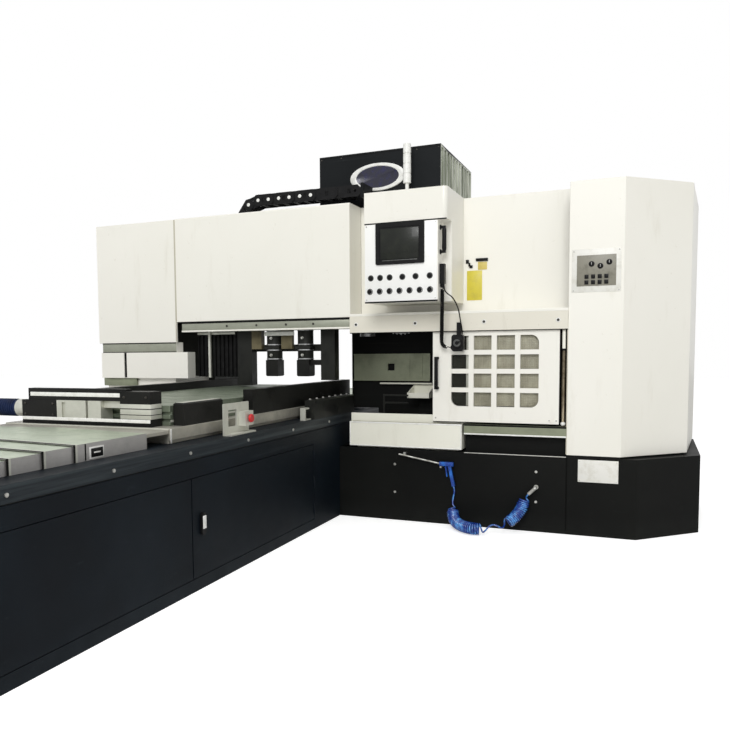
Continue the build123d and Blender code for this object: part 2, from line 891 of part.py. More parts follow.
def carriage():
    back = carriage_face + carriage_thickness
    top = box_bottom - carriage_top_gap
    plate = block(carriage_left, carriage_right, carriage_face, back, carriage_bottom, top)
    plate += block(carriage_left + 80, carriage_right - 70, carriage_face, beam_rear + carriage_overhang,
                   top, box_bottom)
    for level in track_levels:
        for x in (carriage_left + 30, carriage_right - 230):
            shoe = block(x, x + 200, back, beam_front - 4, level - 50, level + 50)
            shoe -= block(x, x + 200, beam_front - track_depth - gap, beam_front - 4,
                          level - track_height / 2 - gap, level + track_height / 2 + gap)
            plate += shoe
    for x in (ram_left + 40, ram_right - 70, saw_slide_left + 50, saw_slide_right - 80):
        plate += block(x, x + slideway_width, carriage_face - slideway_depth, carriage_face,
                       carriage_bottom, top - sheet)
    return plate


def top_box():
    shell = block(box_left, box_right, box_front, box_rear, box_bottom, box_top)
    shell -= block(box_left + 8, box_right - 20, box_front + 8, box_rear - 8, box_bottom, box_top - 8)
    depth = box_rear - box_front
    pitch = depth / box_ribs
    for number in range(box_ribs):
        y = box_front + (number + 0.5) * pitch
        shell -= block(box_right - 12, box_right, y - pitch * 0.28, y + pitch * 0.28, box_bottom + 20,
                       box_top - 20)
    floor = block(box_left + 8, box_right - 20, box_front + 8, box_rear - 8, box_bottom, box_bottom + 8)
    shell += floor
    arm_left = chain_start + chain_radius + gap
    arm = block(arm_left, arm_left + chain_arm_width, chain_front, box_front,
                chain_level - chain_arm_height / 2, chain_level + chain_arm_height / 2)
    return [shell + arm]


def bend_radius():
    return chain_pitch / (2 * sin(pi / (2 * chain_bend_links)))


def link_corner():
    """How far the cut corners of a link's end lie from its joint."""
    return hypot(chain_radius, chain_cut * chain_radius)


def chain_joints():
    """Joint places of the chain in X and Z, from the towed end round the bend."""
    places = [(chain_start - number * chain_pitch, chain_level) for number in range(chain_top_links + 1)]
    turn = bend_radius()
    centre_x = places[-1][0]
    centre_z = chain_level - turn
    for number in range(1, chain_bend_links + 1):
        angle = radians(90 + 180 * number / chain_bend_links)
        places.append((centre_x + turn * cos(angle), centre_z + turn * sin(angle)))
    for number in range(1, chain_low_links + 1):
        places.append((centre_x + number * chain_pitch, chain_level - 2 * turn))
    return places


def chain_link(start, end, wide):
    """A link: two slotted side plates, two cross bars, and bosses where it is the narrow one."""
    angle = degrees(atan2(end[1] - start[1], end[0] - start[0]))
    side = 0 if wide else chain_plate + gap
    near = side
    far = chain_width - side
    r = chain_radius
    cut = r * chain_cut
    shape = Polyline((-r, cut), (-cut, r), (chain_pitch + cut, r), (chain_pitch + r, cut),
                     (chain_pitch + r, -cut), (chain_pitch + cut, -r), (-cut, -r), (-r, -cut), close=True)
    face = make_face(shape)
    window = Location((chain_pitch / 2, 0, 0)) * Rectangle(26, 34)
    face -= window
    if wide:
        for x in (0, chain_pitch):
            face -= Location((x, 0, 0)) * Circle(chain_pin + gap)
    link = front_profile(face, near, chain_plate) + front_profile(face, far - chain_plate, chain_plate)
    for level in (r - 6, -r):
        link += block(chain_pitch / 2 - 15, chain_pitch / 2 + 15, near, far, level, level + 6)
    if not wide:
        for x in (0, chain_pitch):
            link += drum((x, gap, 0), chain_pin, chain_plate + gap, "Y")
            link += drum((x, chain_width - chain_plate - 2 * gap, 0), chain_pin, chain_plate + gap, "Y")
    return Location((start[0], chain_front, start[1])) * Rotation(0, -angle, 0) * link


def drag_chain():
    places = chain_joints()
    return [chain_link(places[number], places[number + 1], number % 2 == 0)
            for number in range(len(places) - 1)]


def ram():
    back = carriage_face - slideway_depth - gap
    body = block(ram_left, ram_right, ram_front, back, ram_bottom, ram_top)
    body = chamfer(body.edges().filter_by(Axis.Z).group_by(Axis.Y)[0], 20)
    x = (ram_left + ram_right) / 2
    y = (ram_front + back) / 2
    body += drum((x, y, ram_bottom - 60), nose_radius + 20, 60)
    body -= drum((x, y, ram_bottom - 60), nose_radius - 15 + gap, 40)
    return body


def spindle():
    x = (ram_left + ram_right) / 2
    y = (ram_front + carriage_face - slideway_depth - gap) / 2
    nose = drum((x, y, cutter_bottom + 40), nose_radius - 15, ram_bottom - 60 + 40 - gap - cutter_bottom - 40)
    cutter = drum((x, y, cutter_bottom), cutter_radius, 40)
    for number in range(cutter_teeth):
        pocket = Location((cutter_radius, 0, 14)) * Box(16, 14, 28)
        cutter -= Location((x, y, cutter_bottom)) * Rotation(0, 0, 360 * number / cutter_teeth) * pocket
    return nose + cutter


def saw_arm():
    back = carriage_face - slideway_depth - gap
    body = block(saw_slide_left, saw_slide_right, saw_slide_front, back, saw_slide_bottom, saw_slide_top)
    body += block(saw_x - saw_nose_half, saw_x + saw_nose_half, saw_nose_front, back,
                  saw_z - saw_nose_half, saw_slide_bottom)
    body += drum((saw_x, hood_rear, saw_z), saw_hub_radius, saw_nose_front - hood_rear, "Y")
    hood = hood_form(hood_radius, hood_front, hood_rear - hood_front)
    hood -= hood_form(hood_radius - hood_wall - 2, hood_front + hood_wall,
                      hood_rear - hood_front - 2 * hood_wall)
    hood -= drum((saw_x, hood_rear - 8, saw_z), 30 + gap, 10, "Y")
    body -= drum((saw_x, hood_rear, saw_z), 30 + gap, 60, "Y")
    return body + hood


def hood_form(radius, front, thickness):
    """A half round over a straight skirt, which is open below."""
    upper = Location((saw_x, saw_z, 0)) * Circle(radius)
    upper -= Location((saw_x, saw_z - radius, 0)) * Rectangle(3 * radius, 2 * radius)
    skirt = Location((saw_x, saw_z - hood_skirt / 2, 0)) * Rectangle(2 * radius, hood_skirt)
    return front_profile(upper + skirt, front, thickness)


def saw_blade():
    count = blade_teeth
    points = []
    for number in range(count):
        for share, reach in ((0, blade_radius), (0.35, blade_radius - 14)):
            angle = 2 * pi * (number + share) / count
            points.append((saw_x + reach * cos(angle), saw_z + reach * sin(angle)))
    face = make_face(Polyline(*points, close=True))
    blade = front_profile(face, blade_y - blade_thickness / 2, blade_thickness)
    blade += drum((saw_x, blade_y - 14, saw_z), 52, 28, "Y")
    return blade + drum((saw_x, blade_y + 14, saw_z), 30, 60, "Y")


# Control station

def control_housing():
    body = block(station_left, station_right, panel_back, wall_front, station_bottom, cover_top)
    body += block(station_left, station_right, panel_front, panel_back, panel_top, cover_top)
    body += block(station_left, panel_right, panel_front, panel_back, station_bottom, panel_top)
    body = fillet(body.edges().filter_by(Axis.Z).sort_by(lambda edge: edge.center().X
                                                        - edge.center().Y)[-1], 30)
    for x in button_places():
        body -= drum((x, panel_front, button_row), button_radius - 4 + gap, 20, "Y")
    handle = block(panel_right + 26, panel_right + 40, -210, -190, 1978, 2166)
    for level in (1978, 2148):
        handle += block(panel_right, panel_right + 26, -210, -190, level, level + 18)
    plug = block(panel_right, panel_right + 36, -222, -178, 1762, 1902)
    return [body, handle, plug]


def button_places():
    return [button_first + number * button_pitch for number in range(button_count)]


def screen():
    x, z = screen_centre
    width, height = screen_size
    bezel = block(x - width / 2, x + width / 2, panel_front - screen_depth, panel_front, z - height / 2,
                  z + height / 2)
    bezel = fillet(bezel.edges().filter_by(Axis.Y), 10)
    return bezel - block(x - width / 2 + 28, x + width / 2 - 28, panel_front - screen_depth,
                         panel_front - screen_depth + 4, z - height / 2 + 24, z + height / 2 - 30)


def pilot_lamps():
    lamps = []
    for x in lamp_places:
        lens = drum((x, panel_front - 16, lamp_row), button_radius, 16, "Y")
        lamps.append(fillet(lens.edges().group_by(Axis.Y)[0], 6))
    return lamps


def push_buttons():
    for number, x in enumerate(button_places()):
        head = drum((x, panel_front - button_reach, button_row), button_radius, button_reach - button_stroke - 2, "Y")
        head = chamfer(head.edges().group_by(Axis.Y)[0], 3)
        stem = drum((x, panel_front - button_stroke - 2, button_row), button_radius - 4,
                    button_stroke + 14, "Y")
        save(f"push_button_{number + 1}", head + stem)


def signal_lamp():
    post = drum((signal_x, signal_y, cover_top), signal_radius + 12, 14)
    post += drum((signal_x, signal_y, cover_top + 14), 14, 130)
    level = cover_top + 144
    height = (signal_top - level) / 4
    for number in range(4):
        post += drum((signal_x, signal_y, level + number * height), signal_radius, height - 6)
        post += drum((signal_x, signal_y, level + (number + 1) * height - 6), signal_radius - 4, 6)
    return post


# Handwheel unit

def pendant_body():
    width, depth, height = pendant_size
    back = strip_front - 12
    body = block(pendant_x - width / 2, pendant_x + width / 2, back - depth, back, pendant_z - height / 2,
                 pendant_z + height / 2)
    body = fillet(body.edges().filter_by(Axis.Y), 22)
    hanger = block(pendant_x - 16, pendant_x + 16, back, strip_front, pendant_z - 20, strip_bottom + 60)
    gland = drum((pendant_x - width / 2 - gland_length, back - depth / 2, pendant_z - 32), 12,
                 gland_length, "X")
    body -= drum((pendant_x, back - depth, pendant_z), 8 + gap, 12, "Y")
    return body + hanger + gland


def pendant_wheel():
    front = strip_front - 12 - pendant_size[1]
    wheel = drum((pendant_x, front - 16, pendant_z), wheel_radius, 15, "Y")
    wheel += drum((pendant_x, front - 1, pendant_z), 8, 12, "Y")
    wheel += drum((pendant_x + 20, front - 36, pendant_z + 8), 6, 20, "Y")
    return wheel


def cable_route():
    """From the plug on the station down to the handwheel unit's gland."""
    end_x = pendant_x - pendant_size[0] / 2 - gland_length
    end_y = strip_front - 12 - pendant_size[1] / 2
    end_z = pendant_z - 32
    return [(870, -200, 1762), (870, -200, 1650), (862, -170, 1540), (842, -95, 1445), (830, -52, 1395),
            (829, end_y - 1, end_z + 29), (end_x - 41, end_y, end_z), (end_x, end_y, end_z)]


# Air gun, its hose and fittings

def hose_fittings():
    x, z = hose_port
    elbow = Location((x, hose_reach, z))
    port = drum((x, -8, z), port_radius, 8, "Y") + drum((x, hose_reach, z), 10, -hose_reach - 8, "Y")
    port += elbow * Sphere(12)
    port += elbow * Rotation(0, -135, 0) * drum((0, 0, 0), 12, hose_lean * 2 ** 0.5)
    clip = block(530, 548, -22, 0, 508, 530)
    peg = block(gun_x - 34, gun_x - 22, -60, 0, gun_level - 12 - gap, gun_level - gap)
    return [port, clip, peg]


def blow_gun():
    y = gun_y
    body = block(gun_x - 40, gun_x + 62, y - 15, y + 15, gun_level, gun_level + 31)
    body = fillet(body.edges().filter_by(Axis.X), 8)
    grip = Location(grip_top()) * Rotation(0, -grip_tilt, 0)
    grip = grip * Location((0, 0, -grip_length / 2)) * Box(22, 20, grip_length)
    gun = body + grip
    start = Vector(gun_x - 30, y, gun_level + 15)
    end = Vector(500, y, 516)
    line = end - start
    length = line.length
    angle = degrees(atan2(line.Z, line.X))
    pipe = Cylinder(6, length, align=(Align.CENTER, Align.CENTER, Align.MIN))
    gun += Location((start.X, start.Y, start.Z)) * Rotation(0, 90 - angle, 0) * pipe
    return gun


def grip_top():
    return gun_x + 30, gun_y, gun_level + 16


def grip_end(past=0):
    """The point on the grip's axis that lies a distance past its lower end."""
    x, y, z = grip_top()
    reach = grip_length + past
    return x + reach * sin(radians(grip_tilt)), y, z - reach * cos(radians(grip_tilt))


def gun_trigger():
    top = (gun_x + 6, gun_y, gun_level - gap - 1)
    lever = Location(top) * Rotation(0, -8, 0) * Location((0, 0, -38)) * Box(8, 20, 76)
    return lever + drum((gun_x + 6, gun_y - 12, gun_level - 7), 5, 24, "Y")


def coil_route():
    """The curled hose sags from the port to the floor and up to the gun's grip."""
    x = hose_port[0] - hose_lean
    z = hose_port[1] - hose_lean
    return [(x, hose_reach, z), (x - 34, hose_reach, z - 34), (1392, -75, 150), (1300, -140, 66),
            (1190, -255, 46), (1090, -268, 46), (975, -165, 46), (920, -80, 90), (914, -54, 175)]


def lead_route():
    before, start = (Vector(*point) for point in coil_route()[-2:])
    leave = start + (start - before) * 0.42
    return [tuple(start), tuple(leave), grip_end(38), grip_end(gap)]


def cord_tube(name, points, radius):
    """A tube along straight runs joined by tangent arcs; the arcs take their size from the runs."""
    vectors = [Vector(*point) for point in points]
    radii = []
    for before, here, after in zip(vectors, vectors[1:], vectors[2:]):
        turn = radians((here - before).get_angle(after - here))
        run = min((here - before).length, (after - here).length)
        radii.append(0.45 * run / tan(turn / 2))
    path = FilletPolyline(*points, radius=radii)
    start = Plane(origin=path @ 0, z_dir=path % 0)
    tube = sweep(start * Circle(radius), path)
    print(name, "length", round(path.length), "radii", [round(value) for value in radii],
          "volume share", round(tube.volume / (pi * radius ** 2 * path.length), 4))
    return tube


# Fasteners of the fixed covers

def cover_screws():
    places = []
    for number in range(rim_screw_count):
        y = rim_screw_start + number * rim_screw_pitch
        places.append(((-rim_recess, y, deck_height - rim_height / 2), "X"))
    for x in skirt_screws:
        places.append(((x, tie_front - screw_height, (skirt_bottom + cover_bottom) / 2), "Y"))
    for x in strip_screws:
        places.append(((x, strip_front - screw_height, (strip_bottom + strip_top) / 2), "Y"))
    for x, z in base_screws:
        places.append(((x, -screw_height, z), "Y"))
    return [drum(place, screw_radius, screw_height, axis) for place, axis in places]


def main():
    os.makedirs("parts", exist_ok=True)
    save("bed_frame", bed_frame())
    bed_doors()
    save("bed_latch", bed_latch())
    save("guide_rails", *guide_rails())
    way_covers()
    save("saddle", *saddle())
    save("worktable", worktable())
    save("table_fixtures", *table_fixtures())
    save("bed_fittings", *bed_fittings())
    save("stop_button", stop_button())
    save("portal", portal())
    save("left_cabinet", *left_cabinet())
    save("bridge_cover", *bridge_cover())
    save("right_base", right_base())
    save("right_cabinet", right_cabinet())
    save("wall_panel", wall_panel())
    save("door_tracks", *door_tracks())
    save("chip_tray", *chip_tray())
    save("slide_cover", slide_cover())
    save("sliding_door", *sliding_door())
    save("door_pane", door_pane())
    save("clamp_frame", *clamp_frame())
    save("clamp_foot_left", clamp_foot(0))
    save("clamp_foot_right", clamp_foot(1))
    save("chip_curtain", chip_curtain())
    save("carriage", carriage())
    save("top_box", *top_box())
    save("drag_chain", *drag_chain())
    save("ram", ram())
    save("spindle", spindle())
    save("saw_arm", saw_arm())
    save("saw_blade", saw_blade())
    save("control_housing", *control_housing())
    save("screen", screen())
    save("pilot_lamps", *pilot_lamps())
    push_buttons()
    save("signal_lamp", signal_lamp())
    save("pendant_body", pendant_body())
    save("pendant_wheel", pendant_wheel())
    save("pendant_cable", cord_tube("pendant_cable", cable_route(), cable_radius))
    save("hose_fittings", *hose_fittings())
    save("blow_gun", blow_gun())
    save("gun_trigger", gun_trigger())
    save("hose_lead", cord_tube("hose_lead", lead_route(), lead_radius))
    save("hose_coil", cord_tube("hose_coil", coil_route(), coil_radius))
    save("cover_screws", *cover_screws())


main()
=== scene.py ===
import math

import bmesh
import bpy
from mathutils import Matrix, Vector


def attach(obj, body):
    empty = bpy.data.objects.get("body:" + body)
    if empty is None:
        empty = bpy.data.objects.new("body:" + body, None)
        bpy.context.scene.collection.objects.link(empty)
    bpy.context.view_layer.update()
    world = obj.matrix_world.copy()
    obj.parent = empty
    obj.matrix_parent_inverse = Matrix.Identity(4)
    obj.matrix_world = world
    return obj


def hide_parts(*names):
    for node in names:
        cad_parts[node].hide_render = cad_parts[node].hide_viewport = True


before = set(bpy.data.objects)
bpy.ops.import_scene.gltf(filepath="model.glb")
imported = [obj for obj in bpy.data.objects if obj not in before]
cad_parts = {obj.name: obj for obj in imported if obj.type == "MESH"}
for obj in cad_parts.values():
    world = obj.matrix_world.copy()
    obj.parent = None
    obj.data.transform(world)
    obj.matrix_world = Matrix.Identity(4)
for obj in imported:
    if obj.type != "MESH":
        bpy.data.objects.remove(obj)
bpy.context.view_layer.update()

# The part's working datum, the floor corner between bed and portal, in this frame in metres
DATUM = Vector((-0.110, 0.400, 0.0))


def spot(x, y, z):
    """A point given in millimetres from the working datum."""
    return DATUM + Vector((x, y, z)) / 1000


# Materials

def paint(red, green, blue):
    """A screen colour, 0 to 255, as the linear colour that shaders use."""
    def linear(value):
        value /= 255
        return value / 12.92 if value <= 0.04045 else ((value + 0.055) / 1.055) ** 2.4
    return linear(red), linear(green), linear(blue), 1.0


class Wire:
    """One socket's value in a material, so that shader maths reads as plain sums."""

    def __init__(self, shader, socket):
        self.shader = shader
        self.socket = socket

    def __add__(self, other):
        return self.shader.maths("ADD", self, other)

    def __mul__(self, other):
        return self.shader.maths("MULTIPLY", self, other)

    def __rsub__(self, other):
        return self.shader.maths("SUBTRACT", other, self)

    __radd__ = __add__
    __rmul__ = __mul__


class Shader:
    """A material in the making."""

    def __init__(self, name, **fixed):
        self.material = bpy.data.materials.new(name)
        self.material.use_nodes = True
        self.tree = self.material.node_tree
        self.surface = self.tree.nodes["Principled BSDF"]
        self.feed(self.surface, {key.replace("_", " "): value for key, value in fixed.items()})

    def feed(self, node, inputs):
        for key, value in inputs.items():
            socket = node.inputs[key]
            if isinstance(value, Wire):
                self.tree.links.new(value.socket, socket)
            else:
                socket.default_value = value

    def node(self, kind, inputs=None, output=0, **settings):
        made = self.tree.nodes.new("ShaderNode" + kind)
        for key, value in settings.items():
            setattr(made, key, value)
        self.feed(made, inputs or {})
        return Wire(self, made.outputs[output])

    def maths(self, operation, *terms):
        return self.node("Math", dict(enumerate(terms)), operation=operation)

    def place(self):
        return self.node("TexCoord", output="Object")

    def height(self):
        return self.node("SeparateXYZ", {"Vector": self.place()}, output="Z")

    def stretched(self, x=1.0, y=1.0, z=1.0):
        return self.node("Mapping", {"Vector": self.place(), "Scale": (x, y, z)})

    def noise(self, scale, detail=3.0, rough=0.5, vector=None):
        return self.node("TexNoise", {"Vector": vector or self.place(), "Scale": scale,
                                      "Detail": detail, "Roughness": rough})

    def step(self, value, low, high, start=0.0, end=1.0):
        """start where value is below low, end where it is above high."""
        return self.node("MapRange", {"Value": value, "From Min": low, "From Max": high,
                                      "To Min": start, "To Max": end},
                         interpolation_type="SMOOTHSTEP")

    def blend(self, factor, first, second):
        return self.node("Mix", {0: factor, 6: first, 7: second}, output=2, data_type="RGBA")

    def bump(self, height, distance, strength):
        return self.node("Bump", {"Height": height, "Distance": distance, "Strength": strength})

    def done(self, **inputs):
        self.feed(self.surface, {key.replace("_", " "): value for key, value in inputs.items()})
        return self.material


def sheet_enamel(name, light, shade, soil):
    """Sprayed enamel on sheet metal: faint waviness, orange peel, smears and spots of soil."""
    shader = Shader(name, Coat_Weight=0.15, Coat_Roughness=0.2)
    drift = shader.step(shader.noise(0.9, 4), 0.3, 0.75)
    colour = shader.blend(drift, light, shade)
    smears = shader.noise(1.0, 6, 0.62, shader.stretched(9, 9, 1.6))
    smears = shader.step(smears, 0.56, 0.8, 0, 0.35)
    spots = shader.step(shader.noise(34, 2), 0.7, 0.78, 0, 0.25)
    colour = shader.blend(smears + spots, colour, soil)
    peel = shader.noise(260, 2)
    wave = shader.noise(2.2, 1)
    return shader.done(Base_Color=colour, Roughness=0.3 + 0.16 * shader.noise(5, 4),
                       Normal=shader.bump(peel * 0.08 + wave, 0.0022, 0.6))


def textured_paint(name, dark, light, dust_and_sheen):
    """Dark wrinkle paint with a dusty fade near the floor, rub marks, and long level streaks above
    about 0.6 m that are painted reflections.
    """
    shader = Shader(name, Specular_IOR_Level=0.12)
    height = shader.height()
    colour = shader.blend(shader.step(shader.noise(1.6, 5), 0.35, 0.72), dark, light)
    rubs = shader.step(shader.noise(7, 8, 0.72, shader.stretched(1, 1, 2.4)), 0.6, 0.74, 0, 0.2)
    low = shader.step(height, 0.0, 0.16, 0.3, 0.0) * shader.noise(11, 4)
    # Painted reflection: long level pale streaks, only above about 0.6 m, in the same pale colour
    # as the dust.
    painted_reflection_streaks = shader.noise(1.0, 5, 0.6, shader.stretched(1.2, 0.7, 24))
    painted_reflection_streaks = shader.step(painted_reflection_streaks, 0.58, 0.7, 0, 0.22) * shader.step(height, 0.52, 0.68)
    colour = shader.blend(rubs + low + painted_reflection_streaks, colour, dust_and_sheen)
    grain = shader.noise(620, 3)
    return shader.done(Base_Color=colour, Roughness=0.42 + 0.2 * shader.noise(4, 3),
                       Normal=shader.bump(grain, 0.0007, 0.5))


def drawn_steel(name, light, dark, along, metal=0.85):
    """Rolled sheet steel with fine lines along one axis and a patchy film of oil."""
    shader = Shader(name)
    stretch = {"X": (0.04, 1, 1), "Y": (1, 0.04, 1), "Z": (1, 1, 0.04)}[along]
    lines = shader.noise(420, 3, 0.6, shader.stretched(*stretch))
    film = shader.step(shader.noise(5, 7, 0.66), 0.36, 0.76)
    colour = shader.blend(film * 0.4 + lines * 0.3, light, dark)
    return shader.done(Base_Color=colour, Metallic=metal - 0.2 * film,
                       Roughness=0.24 + 0.2 * lines + 0.16 * film,
                       Normal=shader.bump(lines, 0.0003, 0.35))


def ground_iron(name, light, dark, rust):
    """A ground cast face with swirl marks, oil stains and a little rust in its pores."""
    shader = Shader(name)
    swirl = shader.node("TexVoronoi", {"Vector": shader.place(), "Scale": 55.0}, feature="F1")
    stain = shader.step(shader.noise(6, 7, 0.68), 0.36, 0.76)
    colour = shader.blend(stain * 0.5, light, dark)
    pores = shader.step(shader.noise(24, 6, 0.7), 0.66, 0.76, 0, 0.35)
    colour = shader.blend(pores, colour, rust)
    return shader.done(Base_Color=colour, Metallic=0.6 - 0.2 * stain,
                       Roughness=0.32 + 0.16 * stain + swirl * 0.1,
                       Normal=shader.bump(swirl, 0.0004, 0.25))


def painted_casting(name, dark, light):
    """Filled and painted casting: soft lumps under the paint, oily low spots."""
    shader = Shader(name, Specular_IOR_Level=0.2)
    oil = shader.step(shader.noise(5, 6, 0.6), 0.45, 0.7)
    colour = shader.blend(oil, light, dark)
    lumps = shader.noise(38, 4)
    return shader.done(Base_Color=colour, Roughness=0.52 - 0.2 * oil,
                       Normal=shader.bump(lumps, 0.0012, 0.5))


def moulded(name, colour, wear_and_sheen, rough=0.4, grain=900, **fixed):
    """Moulded plastic or rubber with a fine grain and slight polish where it is handled; in the
    blue hose the second colour is painted highlight.
    """
    shader = Shader(name, **fixed)
    touch_and_sheen = shader.step(shader.noise(22, 5, 0.6), 0.45, 0.7)
    return shader.done(Base_Color=shader.blend(touch_and_sheen, colour, wear_and_sheen), Roughness=rough - 0.12 * touch_and_sheen,
                       Normal=shader.bump(shader.noise(grain, 2), 0.0003, 0.4))


def bare_steel(name, light, dark, rough):
    """Machined or plated steel with slight staining."""
    shader = Shader(name)
    stain = shader.step(shader.noise(18, 5, 0.6), 0.4, 0.72)
    lines = shader.noise(260, 2, 0.5, shader.stretched(1, 1, 0.1))
    return shader.done(Base_Color=shader.blend(stain, light, dark), Metallic=0.9 - 0.25 * stain,
                       Roughness=rough + 0.18 * stain + 0.06 * lines,
                       Normal=shader.bump(lines, 0.0002, 0.3))


def streaked_sheet(name, light, dark, rough=0.42):
    """Painted sheet with dirt that has run down it."""
    shader = Shader(name)
    runs = shader.noise(1.0, 5, 0.62, shader.stretched(16, 16, 1.4))
    grime = shader.step(runs, 0.42, 0.62)
    return shader.done(Base_Color=shader.blend(grime, light, dark), Roughness=rough + 0.15 * grime,
                       Normal=shader.bump(shader.noise(240, 2), 0.0004, 0.4))


def rim_wear_and_sheen_paint(name, dark, light):
    """Dark paint along a rim with long level light streaks, partly rubbed by hands and cloths and
    partly painted reflection.
    """
    shader = Shader(name, Specular_IOR_Level=0.25)
    streaks = shader.noise(1.0, 6, 0.62, shader.stretched(1, 0.9, 42))
    wear_and_sheen = shader.step(streaks, 0.4, 0.72)
    return shader.done(Base_Color=shader.blend(wear_and_sheen, dark, light), Roughness=0.5 - 0.1 * wear_and_sheen,
                       Normal=shader.bump(shader.noise(620, 3), 0.0006, 0.5))


def punched_sheet(name, light, dark, pitch):
    """Sheet punched with rows of small round holes, with a dusty film."""
    shader = Shader(name)
    grid = shader.node("TexVoronoi", {"Vector": shader.stretched(1 / pitch, 0.001, 1 / pitch),
                                      "Scale": 1.0, "Randomness": 0.0}, feature="F1")
    hole = shader.step(grid, 0.28, 0.36, 1, 0)
    film = shader.step(shader.noise(9, 5, 0.6, shader.stretched(1, 1, 0.5)), 0.36, 0.66)
    colour = shader.blend(hole * 0.3 + film * 0.6, light, dark)
    return shader.done(Base_Color=colour, Roughness=0.5 - 0.1 * film,
                       Normal=shader.bump(hole, 0.0015, 0.6))


def clear_sheet(name, tint, seen):
    """Clear plastic glazing with a light haze and wipe marks."""
    shader = Shader(name, Specular_IOR_Level=0.25)
    haze = shader.noise(3.5, 5, 0.6, shader.stretched(1, 1, 3))
    return shader.done(Base_Color=shader.blend(haze, tint, paint(120, 120, 108)),
                       Roughness=0.1 + 0.12 * haze, Alpha=seen + 0.08 * haze)


IVORY = sheet_enamel("ivory_enamel", paint(243, 241, 232), paint(239, 237, 227),
                     paint(212, 207, 191))
PANEL = sheet_enamel("panel_enamel", paint(250, 250, 247), paint(247, 247, 243),
                     paint(222, 219, 209))
WHITE = sheet_enamel("white_enamel", paint(240, 239, 226), paint(230, 229, 214),
                     paint(204, 200, 182))
# A darker, browner copy of the ivory enamel: painted shade for the door strip, drawn as lying in
# the station's shadow.
STRIP_PAINTED_SHADE = sheet_enamel("strip_painted_shade", paint(228, 224, 210), paint(216, 212, 197),
                           paint(176, 168, 144))
# A dull beige that is painted shade in the grooves at the cover joint and beside the right
# cabinet's column.
GROOVE_PAINTED_SHADE = sheet_enamel("groove_painted_shade", paint(196, 190, 172), paint(182, 176, 158),
                          paint(140, 132, 112))
# Grey drawn steel as painted shade on recessed faces: the skirt under the bridge cover and the band
# between the left cabinets.
RECESS_PAINTED_SHADE = drawn_steel("recess_painted_shade", paint(160, 163, 148), paint(118, 121, 106), "X", 0.25)
NAVY = textured_paint("navy_wrinkle", paint(9, 15, 21), paint(16, 24, 31), paint(58, 66, 72))
RIM = rim_wear_and_sheen_paint("rim_paint", paint(20, 27, 33), paint(50, 58, 62))
BLACK = textured_paint("black_wrinkle", paint(8, 9, 8), paint(14, 15, 13), paint(46, 48, 45))
BOX_BLACK = textured_paint("box_enamel", paint(13, 16, 18), paint(20, 23, 25), paint(50, 54, 55))
CASTING = painted_casting("machine_grey", paint(14, 15, 14), paint(32, 33, 30))
DARK_CASTING = painted_casting("dark_casting", paint(10, 10, 10), paint(22, 22, 20))
COVER_TOP = drawn_steel("cover_steel", paint(206, 216, 194), paint(104, 114, 94), "X")
# A greyer, duller copy of the cover steel for the shells' side faces: painted shade, as tops and
# sides are the same sheet.
COVER_SIDE_PAINTED_SHADE = drawn_steel("cover_side_painted_shade", paint(186, 184, 182), paint(122, 120, 118), "Y", 0.5)
GREEN_STEEL = drawn_steel("oiled_steel", paint(148, 153, 130), paint(84, 88, 70), "X", 0.6)
LIGHT_STEEL = drawn_steel("light_steel", paint(214, 214, 204), paint(158, 160, 146), "X", 0.45)
ROD_STEEL = bare_steel("rod_steel", paint(138, 128, 108), paint(84, 74, 56), 0.3)
TABLE = ground_iron("table_iron", paint(120, 130, 113), paint(74, 80, 67), paint(86, 72, 54))
SADDLE = ground_iron("saddle_iron", paint(184, 181, 170), paint(120, 117, 106), paint(120, 104, 82))
TOOL = bare_steel("tool_steel", paint(190, 191, 192), paint(120, 120, 120), 0.25)
ZINC = bare_steel("zinc_plate", paint(205, 205, 200), paint(140, 138, 130), 0.32)
DARK_SCREW = bare_steel("blacked_steel", paint(66, 64, 60), paint(38, 36, 34), 0.4)
MOTOR_BLUE = painted_casting("motor_blue", paint(10, 14, 28), paint(24, 38, 72))
KHAKI = painted_casting("khaki_paint", paint(70, 64, 46), paint(112, 104, 80))
YELLOW = moulded("plate_yellow", paint(209, 195, 63), paint(198, 184, 70), 0.45)
AMBER = moulded("plate_amber", paint(209, 190, 103), paint(196, 176, 92), 0.45)
SURROUND = moulded("surround_white", paint(232, 231, 224), paint(220, 218, 208), 0.4)
PLATE_GREY = moulded("plate_grey", paint(134, 131, 118), paint(116, 113, 100), 0.42)
PLASTIC = moulded("black_plastic", paint(13, 13, 14), paint(24, 24, 25), Specular_IOR_Level=0.16)
RUBBER = moulded("black_rubber", paint(10, 10, 10), paint(20, 20, 20), 0.62, 500,
                 Specular_IOR_Level=0.14)
SLATE = moulded("slate_plastic", paint(70, 72, 70), paint(88, 90, 86), 0.4)
RED = moulded("red_plastic", paint(196, 22, 30), paint(214, 44, 46), 0.32)
LAMP = moulded("lamp_white", paint(240, 240, 236), paint(228, 228, 222), 0.3)
SCREEN_GLASS = moulded("screen_glass", paint(24, 27, 22), paint(36, 39, 32), 0.3, 60,
                       Specular_IOR_Level=0.2, Coat_Weight=0.12, Coat_Roughness=0.06)
BADGE_BLUE = moulded("badge_enamel", paint(17, 17, 40), paint(30, 30, 72), 0.3)
BLUE = moulded("gun_blue", paint(16, 62, 148), paint(40, 112, 204), 0.34)
# The hose's pale cyan second colour is painted highlight, the glints along the coil's turns.
HOSE = moulded("hose_blue", paint(12, 58, 148), paint(92, 166, 238), 0.2, 700,
               Coat_Weight=1.0, Coat_Roughness=0.08)
RIBS = streaked_sheet("ribbed_side", paint(216, 220, 204), paint(142, 148, 130))
MESH_SHEET = punched_sheet("punched_sheet", paint(190, 186, 164), paint(134, 130, 110), 0.012)
PANE = clear_sheet("clear_glazing", paint(90, 92, 82), 0.05)

